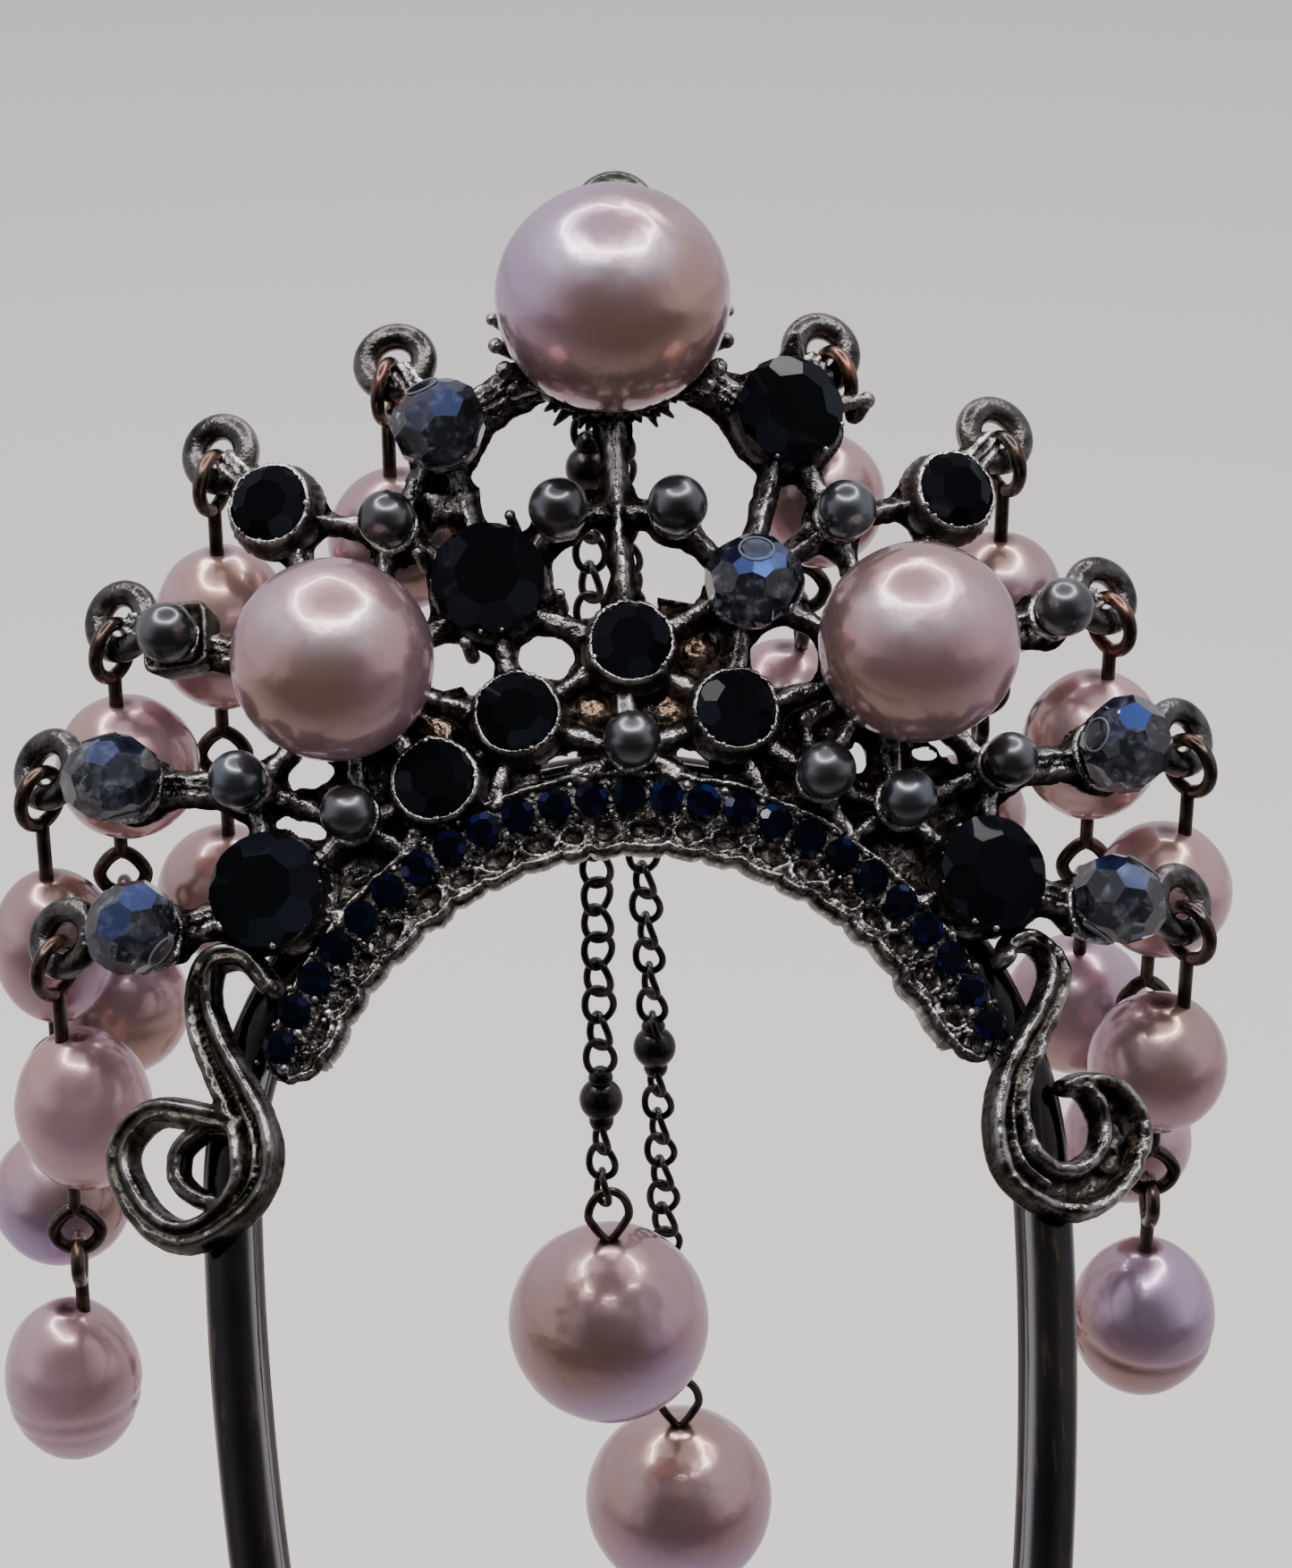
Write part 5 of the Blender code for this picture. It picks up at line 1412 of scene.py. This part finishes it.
# top: across and behind the loop; pearl: across, behind, height, radius; heights of the tiny balls
chains = {
    "1": (-1.6, 0.2, -0.1, -2.2, -29.5, 6.1, (26.2, -13.6)),
    "2": (-0.4, 1.4, 4.7, 4.3, -48.4, 6.0, (-13.4,)),
}
chainLook = {
    "pitch": 1.74, "half": 0.84, "tall": 1.08, "wire": 0.225, "twist": 0.14, "rounds": 24, "sides": 8,
    "ball": 1.3, "cap": 0.75, "topDrop": 1.9, "endSide": -0.35, "turn": 22, "sway": 28, "offset": 24,
    "eye": 1.3, "eyeTall": 1.45, "eyeInside": 1.24, "eyeWire": 0.27, "pinch": 0.6,
}


def linkShape(centre, down, heading, wear):
    # an oval ring of wire, twisted a little as curb links are:
    # half cos t sideways, tall sin t along the chain
    turn = np.arange(chainLook["rounds"]) / chainLook["rounds"] * tau
    flat = np.cross(down, [0.0, -1.0, 0.0])
    flat /= np.linalg.norm(flat)
    deep = np.cross(down, flat)
    across = math.cos(heading) * flat + math.sin(heading) * deep
    normal = np.cross(across, down)
    wide, tall = chainLook["half"] * np.cos(turn), chainLook["tall"] * np.sin(turn)
    twist = chainLook["twist"] * np.sin(2 * turn)
    path = centre + wide[:, None] * across + tall[:, None] * down + twist[:, None] * normal
    profile = roundProfile(chainLook["wire"], chainLook["sides"])
    return sweep(path, profile, out=normal, closed=True, wear=wear, grime=0.1)


topLoopPlace = crownSpot(*topLoop)
for key, (topX, topBack, pearlX, back, pearlZ, radius, balls) in chains.items():
    start = topLoopPlace + (topX, topBack, -chainLook["topDrop"])
    pearl = np.array([pearlX, topLoopPlace[1] + back, pearlZ])
    eyeTop = pearl[2] + radius - 0.35 + 2 * chainLook["eye"] * chainLook["eyeTall"]
    end = np.array([pearl[0] + chainLook["endSide"], pearl[1], eyeTop + 0.3])
    length = np.linalg.norm(end - start)
    down = (end - start) / length
    count = int(length / chainLook["pitch"])
    shapes = []
    for index in range(count + 1):
        share = index / count
        centre = start + down * length * share
        if any(abs(centre[2] - height) < chainLook["ball"] * 0.8 for height in balls):
            continue
        # the chain turns slowly along its length, so that its links show wide, then narrow
        slow = chainLook["turn"] + chainLook["sway"] * math.sin(share * 8.0 + (0.0 if key == "1" else 2.6))
        heading = slow + chainLook["offset"] * (1 if index % 2 else -1)
        shapes.append(linkShape(centre, down, math.radians(heading), 0.2))
    for height in balls:
        share = (start[2] - height) / (start[2] - end[2])
        spot = start + down * length * share
        shapes.append(ballShape(spot, chainLook["ball"], 16, 24, wear=0.15, grime=0.1))
        for way in (-1, 1):
            cap = spot + down * way * (chainLook["ball"] + 0.15)
            shapes.append(ballShape(cap, chainLook["cap"], 8, 12, wear=0.1, grime=0.2))
    makePiece(f"chain_{key}_links", joinShapes(shapes), chainMetal, [f"chain_{key}"])
    mesh = pearlMesh["large"]
    body = pearlShape(pearl, np.eye(3), radius, radius, 41, 0.012, *mesh, holeSize=0.6)
    makePiece(f"chain_pearl_{key}_nacre", body, pearlMauve, [f"chain_pearl_{key}"])
    size, tall = chainLook["eyeInside"], chainLook["eyeTall"]
    middle = np.array([pearl[0], pearl[1], eyeTop - size * tall])
    stemEnd = pearl[2] + radius - 0.6
    wire, pinch = chainLook["eyeWire"], chainLook["pinch"]
    eye = eyeShape(middle, size, stemEnd, math.radians(5), 0.1, wire, pinch, tall)
    makePiece(f"chain_pearl_{key}_eye", eye, wireMetal, [f"chain_pearl_{key}"])
print("stage: chains")


studio = {
    "floor": -0.2, "floorSize": 6.0, "floorColour": (0.93, 0.9, 0.865), "bright": (0.74, 0.72, 0.78),
    "shade": (0.06, 0.046, 0.036),
    "viewerWay": (-0.05, -0.99, 0.12), "ringRadius": 0.265, "ringWidth": 0.035,
    "ringPlace": (-0.01, 0.085, 0.43), "ringPower": 23.0,
    "reflectedShadeColour": (0.05, 0.038, 0.035), "shadeSheetWide": 6.0, "shadeSheetNear": 0.6, "shadeSheetFar": -6.0,
}
view = {  # the photograph's view: millimetres, and pixels of its focal length and of its longer side
    "place": (-9.85, -167.12, 112.0), "aim": (0.93, 9.14, 18.11), "sensor": 36.0, "focalPixels": 4400,
    "longPixels": 1754,
}


def addStagePiece(name, points, faces, material, unseen=(), lift=0.0):
    mesh = bpy.data.meshes.new(name)
    mesh.from_pydata(points, [], faces)
    mesh.materials.append(material)
    thing = bpy.data.objects.new(name, mesh)
    thing.location = (0.0, 0.0, lift)
    bpy.context.scene.collection.objects.link(thing)
    for rays in unseen:
        setattr(thing, "visible_" + rays, False)


def addFloor():
    size, high, pale = studio["floorSize"], studio["floor"], studio["floorColour"]
    material, finish = newMaterial("floorPaper")
    paper = finish.mix(finish.noise(3.0, 2.0), pale, tuple(tone * 1.02 for tone in pale))
    finish.shade({"Base Color": paper, "Roughness": 0.9, "Specular IOR Level": 0.1})
    corners = [(-size, -size, high), (size, -size, high), (size, size, high), (-size, size, high)]
    addStagePiece("floor", corners, [(0, 1, 2, 3)], material)


def addRingLamp():
    # a flat glowing ring overhead: points between two circles, ringRadius -+ half of ringWidth
    turn = np.arange(64) / 64 * tau
    circle = np.stack([np.cos(turn), np.sin(turn), np.zeros(64)], -1)
    radii = studio["ringRadius"] + np.array([-0.5, 0.5]) * studio["ringWidth"]
    shape = gridShape(circle * radii[:, None, None] + np.array(studio["ringPlace"]), False, True)
    material, finish = newMaterial("lampGlow")
    finish.shade({
        "Base Color": (0.8, 0.8, 0.8), "Emission Color": (1.0, 0.97, 0.94),
        "Emission Strength": studio["ringPower"],
    })
    addStagePiece("ringLamp", shape["points"].tolist(), shape["faces"].tolist(), material, ["camera"])


def addReflectedShade():
    # a dark wedge toward the viewer, out of the picture, that only reflections show: painted shade of the
    # viewer's side, low on the pearls; it fades where |x| / (near - y) grows, and toward its near edge
    wide, near, far = studio["shadeSheetWide"], studio["shadeSheetNear"], studio["shadeSheetFar"]
    material, finish = newMaterial("reflectedShadeFinish")
    parts = finish.add("SeparateXYZ", finish.where()).outputs
    toward = finish.maths("MULTIPLY_ADD", parts["Y"], -1.0, near + 0.1)
    share = finish.maths("DIVIDE", finish.maths("ABSOLUTE", parts["X"]), toward)
    nearEdge = finish.mapped(parts["Y"], near - 0.95, near)
    edge = finish.maths("MAXIMUM", finish.mapped(share, 0.8, 1.7), nearEdge)
    reflectedShadeColour = finish.mix(edge, studio["reflectedShadeColour"], studio["floorColour"])
    finish.shade({"Base Color": reflectedShadeColour, "Roughness": 1.0, "Specular IOR Level": 0.1})
    corners = [(-wide, far, 0), (wide, far, 0), (wide, near, 0), (-wide, near, 0)]
    unseen = ["camera", "diffuse", "transmission", "shadow"]
    addStagePiece("reflectedShadeSheet", corners, [(0, 1, 2, 3)], material, unseen, studio["floor"] + 0.004)


def makeAir():
    # pale all round, with the viewer's side in shade: the shade
    # follows the angle between a direction and the viewer's
    world = bpy.data.worlds.new("studioAir")
    world.use_nodes = True
    finish = Finish(world.node_tree)
    way = np.array(studio["viewerWay"]) / np.linalg.norm(studio["viewerWay"])
    direction = finish.add("TexCoord").outputs["Generated"]
    toward = finish.add("VectorMath", direction, way.tolist(), operation="DOT_PRODUCT").outputs["Value"]
    colour = finish.mix(finish.mapped(toward, 0.35, 0.86), studio["bright"], studio["shade"])
    finish.join(colour, world.node_tree.nodes["Background"].inputs["Color"])
    bpy.context.scene.world = world


def pointAt(thing, place, aim):
    # turns the object so that its -Z looks from place to aim, with its Y upward
    place, aim = np.asarray(place, float), np.asarray(aim, float)
    back = place - aim
    back /= np.linalg.norm(back)
    side = np.cross([0, 0, 1], back)
    side /= np.linalg.norm(side)
    rise = np.cross(back, side)
    matrix = np.eye(4)
    matrix[:3, 0], matrix[:3, 1], matrix[:3, 2], matrix[:3, 3] = side, rise, back, place
    thing.matrix_world = Matrix(matrix.tolist())


addFloor()
addRingLamp()
addReflectedShade()
makeAir()

cameraData = bpy.data.cameras.new("photoView")
cameraData.lens = view["focalPixels"] * view["sensor"] / view["longPixels"]
cameraData.sensor_width = view["sensor"]
cameraData.sensor_fit = "AUTO"
cameraData.clip_start = 0.01
camera = bpy.data.objects.new("photoView", cameraData)
bpy.context.scene.collection.objects.link(camera)
pointAt(camera, np.array(view["place"]) * mm, np.array(view["aim"]) * mm)
bpy.context.scene.camera = camera

print("stage: done")
